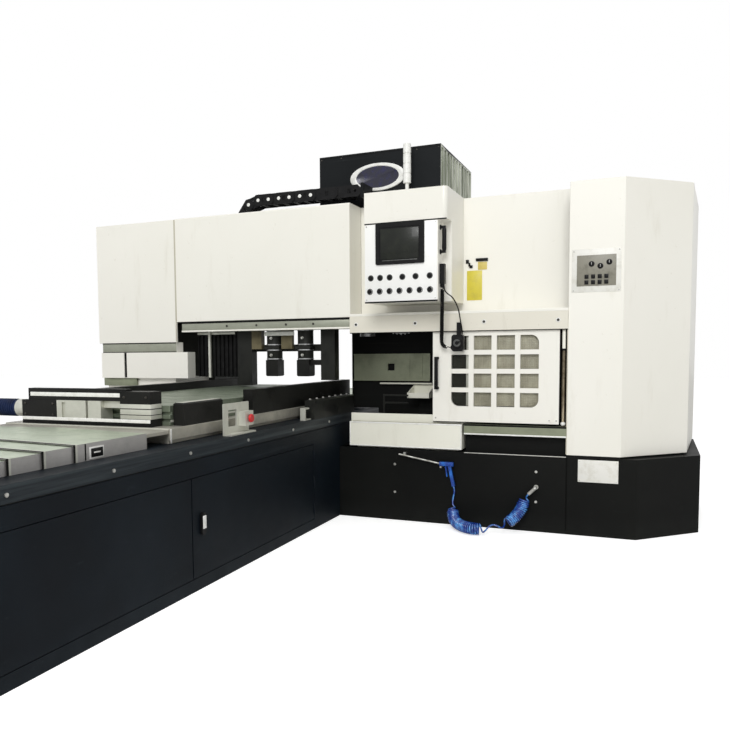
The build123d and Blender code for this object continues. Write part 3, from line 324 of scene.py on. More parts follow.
NODE_FINISH = {
    NAVY: ["bed_frame", "bed_door_front", "bed_door_rear"],
    BLACK: ["right_base"],
    BOX_BLACK: ["top_box"],
    IVORY: ["left_cabinet", "bridge_cover", "right_cabinet", "wall_panel", "control_housing",
            "sliding_door"],
    WHITE: ["chip_tray"],
    COVER_TOP: ["way_cover_front_1", "way_cover_front_2", "way_cover_front_3", "way_cover_front_4",
                "way_cover_rear_1", "way_cover_rear_2", "way_cover_rear_3", "way_cover_rear_4"],
    GREEN_STEEL: ["slide_cover"],
    STRIP_PAINTED_SHADE: ["door_tracks"],
    TABLE: ["worktable"],
    SADDLE: ["saddle"],
    CASTING: ["portal", "clamp_frame", "carriage", "bed_fittings"],
    DARK_CASTING: ["table_fixtures", "ram", "saw_arm", "clamp_foot_left", "clamp_foot_right"],
    TOOL: ["spindle", "saw_blade", "guide_rails"],
    ZINC: ["cover_screws", "hose_fittings"],
    PLASTIC: ["bed_latch", "drag_chain", "screen", "pilot_lamps", "pendant_body", "pendant_wheel"]
             + [f"push_button_{number}" for number in range(1, 8)],
    RUBBER: ["chip_curtain", "pendant_cable"],
    RED: ["stop_button"],
    LAMP: ["signal_lamp"],
    BLUE: ["blow_gun", "gun_trigger"],
    HOSE: ["hose_lead", "hose_coil"],
    PANE: ["door_pane"],
}


def dress(node, material):
    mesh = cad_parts[node].data
    mesh.materials.clear()
    mesh.materials.append(material)


def dress_within(node, material, low, high, facing=None):
    """Gives another finish to a node's faces whose centres lie between two corners, in datum mm."""
    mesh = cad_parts[node].data
    if material.name not in mesh.materials:
        mesh.materials.append(material)
    index = mesh.materials.find(material.name)
    low = spot(*low)
    high = spot(*high)
    for face in mesh.polygons:
        inside = all(low[axis] <= face.center[axis] <= high[axis] for axis in range(3))
        if inside and (facing is None or face.normal.dot(facing) > 0.9):
            face.material_index = index


def soften(node, width):
    """Rounds a sheet or cast node's edges a little, so that they catch the light."""
    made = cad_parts[node]
    weld = made.modifiers.new("weld", "WELD")
    weld.merge_threshold = 1e-5
    flat = made.modifiers.new("flat faces", "DECIMATE")
    flat.decimate_type = "DISSOLVE"
    flat.angle_limit = math.radians(0.5)
    flat.delimit = {"MATERIAL"}
    edge = made.modifiers.new("edge", "BEVEL")
    edge.width = width / 1000
    edge.segments = 2
    edge.limit_method = "ANGLE"
    edge.angle_limit = math.radians(40)
    edge.harden_normals = False


SHEET_EDGE = 2.5
CAST_EDGE = 3

for finish, nodes in NODE_FINISH.items():
    for node in nodes:
        dress(node, finish)

# Corners past the whole machine, and the way a face looks
WIDE = 9000
FIRST = (-WIDE, -WIDE, -WIDE)
LAST = (WIDE, WIDE, WIDE)
RIGHTWARD = Vector((1, 0, 0))
FRONTWARD = Vector((0, -1, 0))
UPWARD = Vector((0, 0, 1))

# The way covers' side faces take the painted-shade copy of the cover steel.
for side in ("front", "rear"):
    for number in range(1, 5):
        for outward in (RIGHTWARD, -RIGHTWARD, FRONTWARD, -FRONTWARD):
            dress_within(f"way_cover_{side}_{number}", COVER_SIDE_PAINTED_SHADE, FIRST, LAST, outward)
dress_within("control_housing", PLASTIC, (859, -230, 1700), (900, -170, 2200))
dress_within("bed_frame", RIM, (-13, -WIDE, 720.5), (-11, WIDE, 799.5), RIGHTWARD)
dress_within("sliding_door", PLASTIC, FIRST, (WIDE, 6, WIDE))
dress_within("sliding_door", IVORY, (810, -WIDE, -WIDE), LAST)
dress_within("door_tracks", GREEN_STEEL, FIRST, (1660, WIDE, 760))
dress_within("door_tracks", ROD_STEEL, (1662, -WIDE, -WIDE), (1695, 40, 1284))
dress_within("door_tracks", PLASTIC, (1662, 0, 1284), (1695, 40, 1302))
dress_within("door_tracks", WHITE, (1662, 0, 758), (1695, 40, 792))
dress_within("door_tracks", WHITE, (1662, 0, 1302), (1695, 40, 1434))
dress_within("top_box", RIBS, (716, -WIDE, 2460), (731, WIDE, 2860))
dress_within("clamp_frame", KHAKI, (-850, 139, 1315), (-756, 201, 1475))
dress_within("clamp_frame", KHAKI, (-578, 149, 1315), (-476, 191, 1475))
dress_within("clamp_frame", LIGHT_STEEL, (-1266, 119, 1070), (-1244, 141, 1476))
dress_within("cover_screws", DARK_SCREW, (-WIDE, -WIDE, 1400), LAST)
dress_within("bed_fittings", LIGHT_STEEL, (-85, -1640, 799), (-10, -1300, 1000))
dress_within("blow_gun", ZINC, FIRST, (815, WIDE, WIDE))
# Painted reflection: the guide block's top face takes a lighter steel for the light it catches.
dress_within("table_fixtures", LIGHT_STEEL, (-260, -1910, 1010), (-150, -1470, 1020), UPWARD)
dress_within("bed_fittings", LIGHT_STEEL, (-71, -575, 799), (-29, -465, 900))
dress_within("chip_tray", CASTING, (200, 395, -WIDE), (440, 420, WIDE))
for foot in ("clamp_foot_left", "clamp_foot_right"):
    dress_within(foot, TOOL, (-WIDE, -WIDE, 1229), LAST)

# The jaw across the table's front
JAW_FRONT = -2040

dress_within("table_fixtures", MOTOR_BLUE, (-1490, JAW_FRONT - 1, 800), (-1294.5, -1930, 1100))
dress_within("table_fixtures", LIGHT_STEEL, (-1296, JAW_FRONT - 1, 800), (-1231, -1930, 1100))
dress_within("table_fixtures", LIGHT_STEEL, (-962, JAW_FRONT - 1, 800), (-498.5, -1930, 1027))

for node in ("left_cabinet", "bridge_cover", "right_cabinet", "wall_panel", "door_tracks",
             "chip_tray", "sliding_door", "control_housing"):
    soften(node, SHEET_EDGE)
for node in ("bed_frame", "bed_door_front", "bed_door_rear", "right_base", "top_box", "worktable",
             "saddle", "table_fixtures", "portal", "clamp_frame", "carriage", "ram", "saw_arm",
             "clamp_foot_left", "clamp_foot_right"):
    soften(node, CAST_EDGE)


# Pieces

SHARP_ANGLE = math.radians(32)


def piece(name, mesh, body, material):
    """Turns a bmesh into a named piece that rides on a body."""
    data = bpy.data.meshes.new(name)
    mesh.to_mesh(data)
    mesh.free()
    data.materials.append(material)
    data.shade_smooth()
    data.set_sharp_from_angle(angle=SHARP_ANGLE)
    made = bpy.data.objects.new(name, data)
    bpy.context.scene.collection.objects.link(made)
    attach(made, body)
    return made


def slab(mesh, left, right, front, rear, low, high, bevel=0.0):
    """Adds a box by its sides in datum mm. The corners it returns are valid without a bevel."""
    first = spot(left, front, low)
    last = spot(right, rear, high)
    place = Matrix.Translation((first + last) / 2) @ Matrix.Diagonal((*(last - first), 1.0))
    made = bmesh.ops.create_cube(mesh, size=1.0, matrix=place)
    if bevel:
        edges = list({edge for vert in made["verts"] for edge in vert.link_edges})
        bmesh.ops.bevel(mesh, geom=edges, offset=bevel / 1000, offset_type="OFFSET", segments=2,
                        profile=0.5, affect="EDGES", material=-1)
    return made["verts"]


def slabs(name, body, material, boxes, bevel=1.0):
    mesh = bmesh.new()
    for box in boxes:
        slab(mesh, *box, bevel)
    return piece(name, mesh, body, material)


TURN = {"X": Matrix.Rotation(math.radians(90), 4, "Y"),
        "Y": Matrix.Rotation(math.radians(-90), 4, "X"),
        "Z": Matrix.Identity(4)}


def lathe(mesh, place, axis, profile, steps):
    """Spins a profile of (radius, height) pairs in mm round an axis through a datum place."""
    matrix = Matrix.Translation(spot(*place)) @ TURN[axis]
    verts = [mesh.verts.new(matrix @ (Vector((radius, 0, height)) / 1000))
             for radius, height in profile]
    edges = [mesh.edges.new(pair) for pair in zip(verts, verts[1:])]
    bmesh.ops.spin(mesh, geom=verts + edges, cent=matrix.translation, axis=matrix.to_3x3() @ UPWARD,
                   angle=2 * math.pi, steps=steps, use_merge=True, use_duplicate=False)
    bmesh.ops.remove_doubles(mesh, verts=mesh.verts, dist=1e-6)


def turned(name, body, material, places, axis, profile, steps=20):
    """One piece made of the same turned form at several places."""
    mesh = bmesh.new()
    for place in places:
        lathe(mesh, place, axis, profile, steps)
    bmesh.ops.recalc_face_normals(mesh, faces=mesh.faces)
    return piece(name, mesh, body, material)


def cap_profile(radius, height):
    """A shallow domed cap or screw head on its face."""
    return [(0, -height), (radius * 0.6, -height), (radius, -height * 0.55), (radius, 0), (0, 0)]


# Camera

# The eye's place in metres, its turn, and the lens measured in the picture's own pixels
EYE = Vector((2.134, -5.069, 1.300))
YAW = math.radians(24)
PITCH = math.radians(4.25)
ROLL = math.radians(0.55)
SENSOR = 36
FOCUS_PIXELS = 755
PICTURE = 730
PRINCIPAL = (317, 407)


def aim_camera():
    forward = Vector((-math.sin(YAW) * math.cos(PITCH), math.cos(YAW) * math.cos(PITCH),
                      -math.sin(PITCH)))
    level = Vector((math.cos(YAW), math.sin(YAW), 0))
    down = forward.cross(level)
    right = level * math.cos(ROLL) + down * math.sin(ROLL)
    up = level * math.sin(ROLL) - down * math.cos(ROLL)
    data = bpy.data.cameras.new("camera")
    data.sensor_width = SENSOR
    data.lens = FOCUS_PIXELS / PICTURE * SENSOR
    data.shift_x = (PICTURE / 2 - PRINCIPAL[0]) / PICTURE
    data.shift_y = (PRINCIPAL[1] - PICTURE / 2) / PICTURE
    data.clip_end = 60
    camera = bpy.data.objects.new("camera", data)
    turn = Matrix((right, up, -forward)).transposed().to_4x4()
    camera.matrix_world = Matrix.Translation(EYE) @ turn
    bpy.context.scene.collection.objects.link(camera)
    bpy.context.scene.camera = camera


aim_camera()


# Cords

# Radii and pitches in mm, lengths of a curl's straight ends in metres
HOSE_RADIUS = 6
COIL_RADIUS = 38
COIL_DRAWN_IN = 20
COIL_PITCH = 13.5
COIL_STRETCH = 9.5
COIL_ENDS = 0.07
CABLE_RADIUS = 3.4
CURL_RADIUS = 11
CURL_PITCH = 7.8
CURL_ENDS = 0.05
WHEEL_LEAD_RADIUS = 4.5
POINTS_A_TURN = 14
COIL_ROUTE = [(1459, -55, 277), (1434, -55, 243), (1406, -80, 146), (1314, -148, 62),
              (1190, -255, 47), (1090, -268, 47), (975, -165, 47), (922, -80, 90), (918, -54, 175)]
LEAD_ROUTE = [(918, -54, 175), (917.5, -43.1, 210.7), (930.2, -38, 260.4), (920.4, -38, 297.3)]
CABLE_ROUTE = [(874, -200, 1762), (874, -200, 1650), (864, -170, 1540), (844, -95, 1445),
               (831, -52, 1395), (829, -47, 1344), (858, -46, 1315), (899, -46, 1315)]
WHEEL_LEAD_ROUTE = [(887, -204, 1762), (888, -205, 1722), (908, -198, 1694), (944, -172, 1668),
                    (972, -120, 1590), (976, -78, 1500), (982, -50, 1440), (982, -46, 1408)]


def cord_curve(name, points, radius, resolution):
    """A smooth NURBS cord through a frame of control points in metres."""
    data = bpy.data.curves.new(name, "CURVE")
    data.dimensions = "3D"
    data.resolution_u = resolution
    data.bevel_depth = radius / 1000
    data.bevel_resolution = 2
    data.use_fill_caps = True
    spline = data.splines.new("NURBS")
    spline.points.add(len(points) - 1)
    for control, point in zip(spline.points, points):
        control.co = (*point, 1.0)
    spline.order_u = 3
    spline.use_endpoint_u = True
    made = bpy.data.objects.new(name, data)
    bpy.context.scene.collection.objects.link(made)
    return made


def curve_line(points, resolution):
    """The points along the smooth line that a route's NURBS spline takes."""
    guide = cord_curve("guide", points, 0, resolution)
    mesh = bpy.data.meshes.new_from_object(guide)
    line = [vert.co.copy() for vert in mesh.vertices]
    bpy.data.objects.remove(guide)
    bpy.data.meshes.remove(mesh)
    return line


def line_length(line):
    return sum((after - before).length for before, after in zip(line, line[1:]))


def curled(line, radius, pitch, ends):
    """Points of a helix round a line with straight ends. radius and pitch go by share of length."""
    length = line_length(line)
    across = Vector((0, 1, 0.2))
    points = []
    travelled = 0.0
    phase = 0.0
    runs = [(before, after) for before, after in zip(line, line[1:])
            if (after - before).length > 1e-5]
    for before, after in runs:
        run = after - before
        ahead = run.normalized()
        across = (across - ahead * across.dot(ahead)).normalized()
        side = ahead.cross(across)
        share = travelled / length
        ease = max(0.0, min(1.0, travelled / ends, (length - travelled) / ends))
        ease = ease * ease * (3 - 2 * ease)
        turning = 2 * math.pi / pitch(share) * ease ** 3
        count = max(1, round(run.length * turning / (2 * math.pi) * POINTS_A_TURN))
        for number in range(count):
            offset = across * math.cos(phase) + side * math.sin(phase)
            points.append(before + run * number / count + offset * radius(share) * ease)
            phase += turning * run.length / count
        travelled += run.length
    return points + [line[-1]]


def lay_cord(name, points, radius, material, resolution, **facts):
    cord = cord_curve(name, points, radius, resolution)
    cord.data.materials.append(material)
    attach(cord, "frame")
    length = line_length(curve_line(points, resolution))
    print(name, "length", round(length, 3))
    return cord


def pendant_cable():
    line = curve_line([spot(*point) for point in CABLE_ROUTE], 60)
    points = curled(line, lambda share: CURL_RADIUS / 1000, lambda share: CURL_PITCH / 1000,
                    CURL_ENDS)
    cable = lay_cord("station_cable", points, CABLE_RADIUS, RUBBER, 2, far_end="object",
                     stiffness="medium", lay="hanging")
    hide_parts("pendant_cable")
    lay_cord("wheel_lead", [spot(*point) for point in WHEEL_LEAD_ROUTE], WHEEL_LEAD_RADIUS, RUBBER,
             8, far_end="object", stiffness="medium", lay="hanging")


def pulled(share):
    """How far the curled hose is drawn out at a share of its length, from 0 to 1."""
    rise = max(0.0, min(1.0, (share - 0.27) / 0.06))
    fall = max(0.0, min(1.0, (0.55 - share) / 0.06))
    reach = min(rise, fall)
    return reach * reach * (3 - 2 * reach)


def air_hose():
    line = curve_line([spot(*point) for point in COIL_ROUTE], 60)
    points = curled(line, lambda share: (COIL_RADIUS - COIL_DRAWN_IN * pulled(share)) / 1000,
                    lambda share: COIL_PITCH / 1000 * (1 + COIL_STRETCH * pulled(share)), COIL_ENDS)
    lead = [spot(*point) for point in LEAD_ROUTE]
    tools = [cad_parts["blow_gun"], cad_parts["gun_trigger"]]
    hose = lay_cord("curled_hose", points + lead[1:], HOSE_RADIUS, HOSE, 3, far_end="tool",
                    stiffness="medium", lay="coiled", with_pieces=tools)
    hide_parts("hose_coil", "hose_lead")


pendant_cable()
air_hose()


# White covers

SEAM_X = -1505
COVER_RIGHT = 96


def cover_trim():
    # Painted shade in the groove where the left cabinet meets the bridge cover.
    slabs("cover_joint", "frame", GROOVE_PAINTED_SHADE, [(SEAM_X - 8, SEAM_X + 6, -1.5, 3, 1562, 2422),
                                               (SEAM_X - 8, SEAM_X - 1, -1.5, 1, 1392, 1562)], 0.4)
    # A dark strip painted as the shade in the gap under the cover's lower edge.
    slabs("skirt_gap_painted_shade", "frame", RUBBER, [(-1455, COVER_RIGHT - 2, 4, 11, 1541, 1557.5)])
    slabs("skirt_lip", "frame", IVORY, [(-1455, COVER_RIGHT - 2, 3, 11, 1470.5, 1484)], 2)
    # The skirt face is grey as painted shade under the cover's lip.
    slabs("skirt_face", "frame", RECESS_PAINTED_SHADE,
          [(-1454, COVER_RIGHT - 3, 8, 10.5, 1484.5, 1540.5)], 0.5)
    # The band between the upper and lower left cabinets is grey as painted shade in its recess.
    slabs("cabinet_joint_band", "frame", RECESS_PAINTED_SHADE,
          [(-2308, SEAM_X - 12, 7, 10.5, 1306.5, 1376)], 0.5)
    # Dark strips painted as the shade along the recessed band's upper and lower edges.
    slabs("cabinet_joint_painted_shade", "frame", RUBBER, [(-2308, SEAM_X - 12, 4, 11, 1376.5, 1384.5),
                                                   (-2308, SEAM_X - 12, 5, 11, 1300.5, 1306)])
    slabs("low_box_slot", "frame", RUBBER, [(-2070.5, -2043.5, 8.5, 9.9, 1080, 1298)], 0.2)
    slabs("low_box_cross_member", "frame", GREEN_STEEL, [(-2330, -1965, 36, 60, 1004, 1075.5)], 6)


# Control station

PANEL_FRONT = -261.5


def station_details():
    slabs("panel_sheet", "frame", PANEL, [(318, 852, PANEL_FRONT, -260, 1651, 2200)], 0.7)
    slabs("screen_glass", "frame", SCREEN_GLASS, [(441, 723, -275.5, -274, 1947, 2162)], 0.5)
    slabs("screen_ledge", "frame", SLATE, [(452, 712, -277, -274, 1935, 1941)], 1)
    slabs("housing_seam", "frame", RUBBER, [(314, 919, -261.5, -259, 2202, 2211)], 0.5)
    # A dark strip painted as the shadow under the control panel's bottom edge.
    slabs("panel_painted_shadow", "frame", RUBBER, [(316, 857, -263, -255, 1640, 1651)], 1.5)
    screws = [(x, PANEL_FRONT, z) for x in (330, 840) for z in (1664, 2188)]
    turned("panel_corner_screws", "frame", ZINC, screws, "Y", cap_profile(5, 2.5), 12)
    buttons = [355 + 74.5 * number for number in range(7)]
    lamps = (362, 433, 505, 600, 697, 800)
    turned("button_collars", "frame", SLATE, [(x, PANEL_FRONT, 1723) for x in buttons], "Y",
           [(17.2, 0), (17.2, -1.5), (19.5, -3), (22, -1.5), (22, 0)], 24)
    turned("lamp_collars", "frame", SLATE, [(x, PANEL_FRONT, 1820) for x in lamps], "Y",
           [(16.1, 0), (16.1, -3), (19.5, -4), (22, -2), (22, 0)], 24)
    turned("station_handle_grip", "frame", PLASTIC, [(887, -200, 1992)], "Z",
           [(0, 0), (9, 0), (14, 5), (16, 20), (15, 80), (16, 140), (14, 155), (9, 160),
            (0, 160)], 24)
    turned("handle_feet", "frame", PLASTIC, [(858, -200, z) for z in (1987, 2157)], "X",
           [(0, 0), (18, 0), (18, 5), (13, 9), (0, 9)], 18)
    turned("plug_nut", "frame", PLASTIC, [(874, -200, 1736)], "Z",
           [(7, 0), (13, 2), (15, 6), (15, 23), (12, 26), (7, 26)])
    wheel_x, wheel_z = 951, 1347
    turned("wheel_scale", "frame", PLASTIC, [(wheel_x, -68, wheel_z)], "Y",
           [(9, -1), (40, -1), (43, -0.4), (43, 0), (9, 0), (9, -1)], 40)
    turned("wheel_dial", "handwheel", SLATE, [(wheel_x, -84, wheel_z)], "Y",
           [(14, 0), (14, -1.4), (25, -1.4), (27, 0), (14, 0)], 40)


# Wall, cabinet and base

PLATE_FRONT = -2.5
STRIP_FRONT = -12
GUTTER_FRONT = -6
GUTTER_LEFT = 988
GUTTER_RIGHT = 1703


def wall_details():
    slabs("yellow_plate", "frame", YELLOW, [(947, 1061, 247, 250, 1669, 1890)], 1)
    slabs("amber_plate", "frame", AMBER, [(1029, 1097, 246.5, 250, 1894, 1952)], 1)
    slabs("plate_latch", "frame", PLASTIC,
          [(1014, 1104, 238, 250, 1957, 1979), (939, 962, 240, 250, 1944, 1972),
           (958, 972, 240, 250, 1922, 1950), (966, 990, 240, 250, 1908, 1930)], 3)
    slabs("instrument_surround", "frame", SURROUND, [(1723, 2038, PLATE_FRONT, 0, 1679, 1969)], 1)
    slabs("instrument_plate", "frame", PLATE_GREY, [(1756, 2006, -5, PLATE_FRONT, 1720, 1927)], 1)
    keys = [(1806 + 42 * column, 1832 + 42 * column, -9, -5, 1731 + 38 * row, 1759 + 38 * row)
            for column in range(4) for row in range(2)]
    slabs("instrument_switches", "frame", PLASTIC, keys, 1.5)
    dials = [(1850, 1868), (1906, 1852), (1962, 1876)]
    turned("instrument_dials", "frame", PLASTIC, [(x, -5, z) for x, z in dials], "Y",
           [(0, -9), (12, -9), (14, -6), (14, -3), (19, -2), (19, 0), (0, 0)], 24)
    slabs("instrument_pointers", "frame", LAMP,
          [(x - 1, x + 1, -15, -14, z - 6, z + 11) for x, z in dials], 0.3)
    screws = [(x, PLATE_FRONT, z) for x in (1736, 2025) for z in (1692, 1956)]
    turned("surround_screws", "frame", ZINC, screws, "Y", cap_profile(5, 2), 12)
    slabs("bare_plate", "frame", SURROUND, [(1783, 2044, PLATE_FRONT, 0, 378, 533)], 1)
    rivets = [(x, PLATE_FRONT, z) for x in (1794, 2033) for z in (389, 522)]
    turned("bare_plate_rivets", "frame", ZINC, rivets, "Y", cap_profile(4, 1.6), 12)
    # A dark strip painted as the shade under the door strip's lower edge.
    slabs("strip_edge_painted_shade", "frame", RUBBER, [(98, GUTTER_RIGHT, -11, -9, 1430, 1436.5)], 0.4)
    # A dark strip painted as the shadow along the top of the gutter.
    slabs("gutter_painted_shadow", "frame", RUBBER,
          [(GUTTER_LEFT, GUTTER_RIGHT, -7.5, GUTTER_FRONT, 744, 755)], 0.4)
    # A white strip painted as the highlight on the gutter's lower lip.
    slabs("gutter_lip_painted_highlight", "frame", LAMP,
          [(GUTTER_LEFT, GUTTER_RIGHT, -8.5, GUTTER_FRONT, 680.5, 691)], 0.8)
    # A pale line painted as the highlight along the base's top front edge.
    slabs("base_edge_painted_highlight", "frame", SURROUND, [(GUTTER_LEFT, GUTTER_RIGHT, -2, 0, 543, 547)], 0.5)
    # White strips painted as highlights round the chip tray's front edges.
    slabs("tray_rim_painted_highlight", "frame", LAMP,
          [(88, 968, -2.5, 0, 741, 751), (88, 968, -2.5, 0, 563.5, 572),
           (88, 96, -2.5, 0, 572, 741), (960, 968, -2.5, 0, 572, 741)], 1)
    washers = [(x, STRIP_FRONT, 1498) for x in (150, 620, 1130, 1640)]
    turned("strip_screw_washers", "frame", LAMP, washers, "Y",
           [(8, 0), (8, -1.2), (15, -1.2), (16, 0), (8, 0)], 24)
    arc = [math.pi * step / 12 for step in range(13)]
    turned("rod_stop_ball", "frame", LAMP, [(1677.5, 20, 776)], "Z",
           [(17 * math.sin(angle), -17 * math.cos(angle)) for angle in arc], 24)
    slabs("plinth_seal", "frame", RUBBER, [(1712, 2046, 3, 10.5, 547.5, 559.5)], 0.5)
    # Painted shade in the corner groove beside the right cabinet's column.
    slabs("column_seam", "frame", GROOVE_PAINTED_SHADE, [(1700.2, 1704.8, -3, 8, 565, 1430)], 0.4)


# Guard door

def door_details():
    slabs("mesh_panel", "bay_door", MESH_SHEET, [(1014, 1524, 38, 41, 876, 1434)], 0.5)
    slabs("mesh_panel_frame", "bay_door", LIGHT_STEEL,
          [(992, 1013.5, 36, 46, 872, 1438), (1013.5, 1524, 36, 46, 1434.5, 1444),
           (1013.5, 1524, 36, 46, 866, 875.5)], 2)
    screws = [(x, 8, z) for x in (772, 1586, 1634) for z in (796, 1480)]
    turned("door_panel_screws", "bay_door", ZINC, screws, "Y", cap_profile(6, 2.5), 12)
    turned("door_rollers", "bay_door", PLASTIC, [(x, 12, 1489) for x in (830, 1600)], "Y",
           [(0, 0), (9, 0), (10, 2), (10, 14), (9, 16), (0, 16)], 20)
    # Dark strips painted as the shadow between the door sheet and the mesh panel, at its top and
    # bottom.
    slabs("mesh_panel_painted_shadow", "bay_door", RUBBER,
          [(800, 1524, 33, 36, 1417, 1440), (800, 1524, 33, 36, 876, 888)], 0.4)
    slabs("door_grip_cover", "bay_door", RUBBER,
          [(770, 798, -32, -24, 1008, 1248), (770, 798, -24, 7.5, 1008, 1026),
           (770, 798, -24, 7.5, 1230, 1248)], 3)
    slabs("rod_guide_edges", "frame", RUBBER, [(1652, 1656, 10, 14, 760, 1432)], 0.5)
    slabs("door_lower_seal", "bay_door", RUBBER, [(752, 1648, 10, 30, 766, 771)], 1)


# Top box and drag chain

CHAIN_PITCH = 94
CHAIN_START = 115
CHAIN_LEVEL = 2530
CHAIN_FRONT = 70
CHAIN_WIDTH = 130
CHAIN_CAPS_FROM = 4
BADGE = (219, 300, 2668)
BADGE_STRETCH = 2.12
BADGE_FIELD = 0.0835


def chain_joints():
    """The X and Z of each joint along the chain: the upper run, the bend and the lower run."""
    turn = CHAIN_PITCH / (2 * math.sin(math.pi / 10))
    places = [(CHAIN_START - number * CHAIN_PITCH, CHAIN_LEVEL) for number in range(10)]
    centre_x = places[-1][0]
    for number in range(1, 6):
        angle = math.radians(90 + 36 * number)
        places.append((centre_x + turn * math.cos(angle),
                       CHAIN_LEVEL - turn + turn * math.sin(angle)))
    for number in range(1, 6):
        places.append((centre_x + number * CHAIN_PITCH, CHAIN_LEVEL - 2 * turn))
    return places


def carriage_details():
    mesh = bmesh.new()
    for x, z in chain_joints()[CHAIN_CAPS_FROM:]:
        for y, side in ((CHAIN_FRONT, -1), (CHAIN_FRONT + CHAIN_WIDTH, 1)):
            lathe(mesh, (x, y, z), "Y",
                  [(0, side * 4), (9, side * 4), (14, side * 2), (14, 0), (0, 0)], 16)
    bmesh.ops.recalc_face_normals(mesh, faces=mesh.faces)
    piece("chain_pin_caps", mesh, "cross_carriage", LAMP)
    badge = bmesh.new()
    lathe(badge, BADGE, "Y",
          [(0, -5), (84, -5), (88, -9), (104, -9), (108, -5), (108, 0), (0, 0)], 64)
    centre = spot(*BADGE)
    bmesh.ops.scale(badge, vec=(BADGE_STRETCH, 1, 1), space=Matrix.Translation(-centre),
                    verts=badge.verts)
    bmesh.ops.recalc_face_normals(badge, faces=badge.faces)
    made = piece("bare_oval_badge", badge, "cross_carriage", LAMP)
    made.data.materials.append(BADGE_BLUE)
    for face in made.data.polygons:
        offset = face.center - centre
        reach = math.hypot(offset.x / BADGE_STRETCH, offset.z)
        if reach < BADGE_FIELD and abs(face.normal.y) > 0.9:
            face.material_index = 1
    slabs("box_front_seams", "cross_carriage", RUBBER,
          [(-278, 728, 297.5, 301, 2462, 2466), (-278, 728, 297.5, 301, 2855, 2859)], 0.4)
    screws = [(x, 300, z) for x in (-262, -90, 540, 712) for z in (2476, 2845)]
    turned("box_screws", "cross_carriage", DARK_SCREW, screws, "Y", cap_profile(6, 3), 12)


# Table, saddle and way covers

COVER_STARTS = (-3380, -3190, -3000, -2810)
COVER_ENDS = (2540, 2150, 1760, 1370)
FRONT_BODIES = ("frame", "front_cover_two", "front_cover_three", "table")
REAR_BODIES = ("frame", "rear_cover_two", "rear_cover_three", "table")
BED_LEFT = -1500
SHELL_RIGHT = -150
SHELL_STEP = 6
SHELL_FOOT = 801
SHELL_TOP = 864
SHELL_RIDGE = 12


def roof_strip(step, near, far, outside):
    """A thin strip bent over one shell's outline, between two Y, that stands off its outer face."""
    right = SHELL_RIGHT - (3 - step) * SHELL_STEP
    left = BED_LEFT - right
    top = SHELL_TOP + step * SHELL_STEP
    outline = [(left, SHELL_FOOT), (left, top), ((left + right) / 2, top + SHELL_RIDGE),
               (right, top), (right, SHELL_FOOT)]
    mesh = bmesh.new()
    verts = [mesh.verts.new(spot(x, near, z)) for x, z in outline]
    edges = [mesh.edges.new(pair) for pair in zip(verts, verts[1:])]
    drawn = bmesh.ops.extrude_edge_only(mesh, edges=edges)
    moved = [item for item in drawn["geom"] if isinstance(item, bmesh.types.BMVert)]
    bmesh.ops.translate(mesh, vec=(0, (far - near) / 1000, 0), verts=moved)
    bmesh.ops.recalc_face_normals(mesh, faces=mesh.faces)
    if sum(face.normal.z for face in mesh.faces) < 0:
        bmesh.ops.reverse_faces(mesh, faces=mesh.faces)
    bmesh.ops.solidify(mesh, geom=mesh.faces[:], thickness=-outside / 1000)
    bmesh.ops.recalc_face_normals(mesh, faces=mesh.faces)
    return mesh


def cover_lips():
    for step in range(4):
        for side, starts, bodies, along in (("front", COVER_STARTS, FRONT_BODIES, 1),
                                            ("rear", COVER_ENDS, REAR_BODIES, -1)):
            start = starts[step]
            wiper = roof_strip(step, start - along * 3, start + along * 9, 1.6)
            piece(f"{side}_cover_wiper_{step + 1}", wiper, bodies[step], RUBBER)
            edge = roof_strip(step, start + along * 9.5, start + along * 22, 1.2)
            piece(f"{side}_cover_edge_{step + 1}", edge, bodies[step], LIGHT_STEEL)


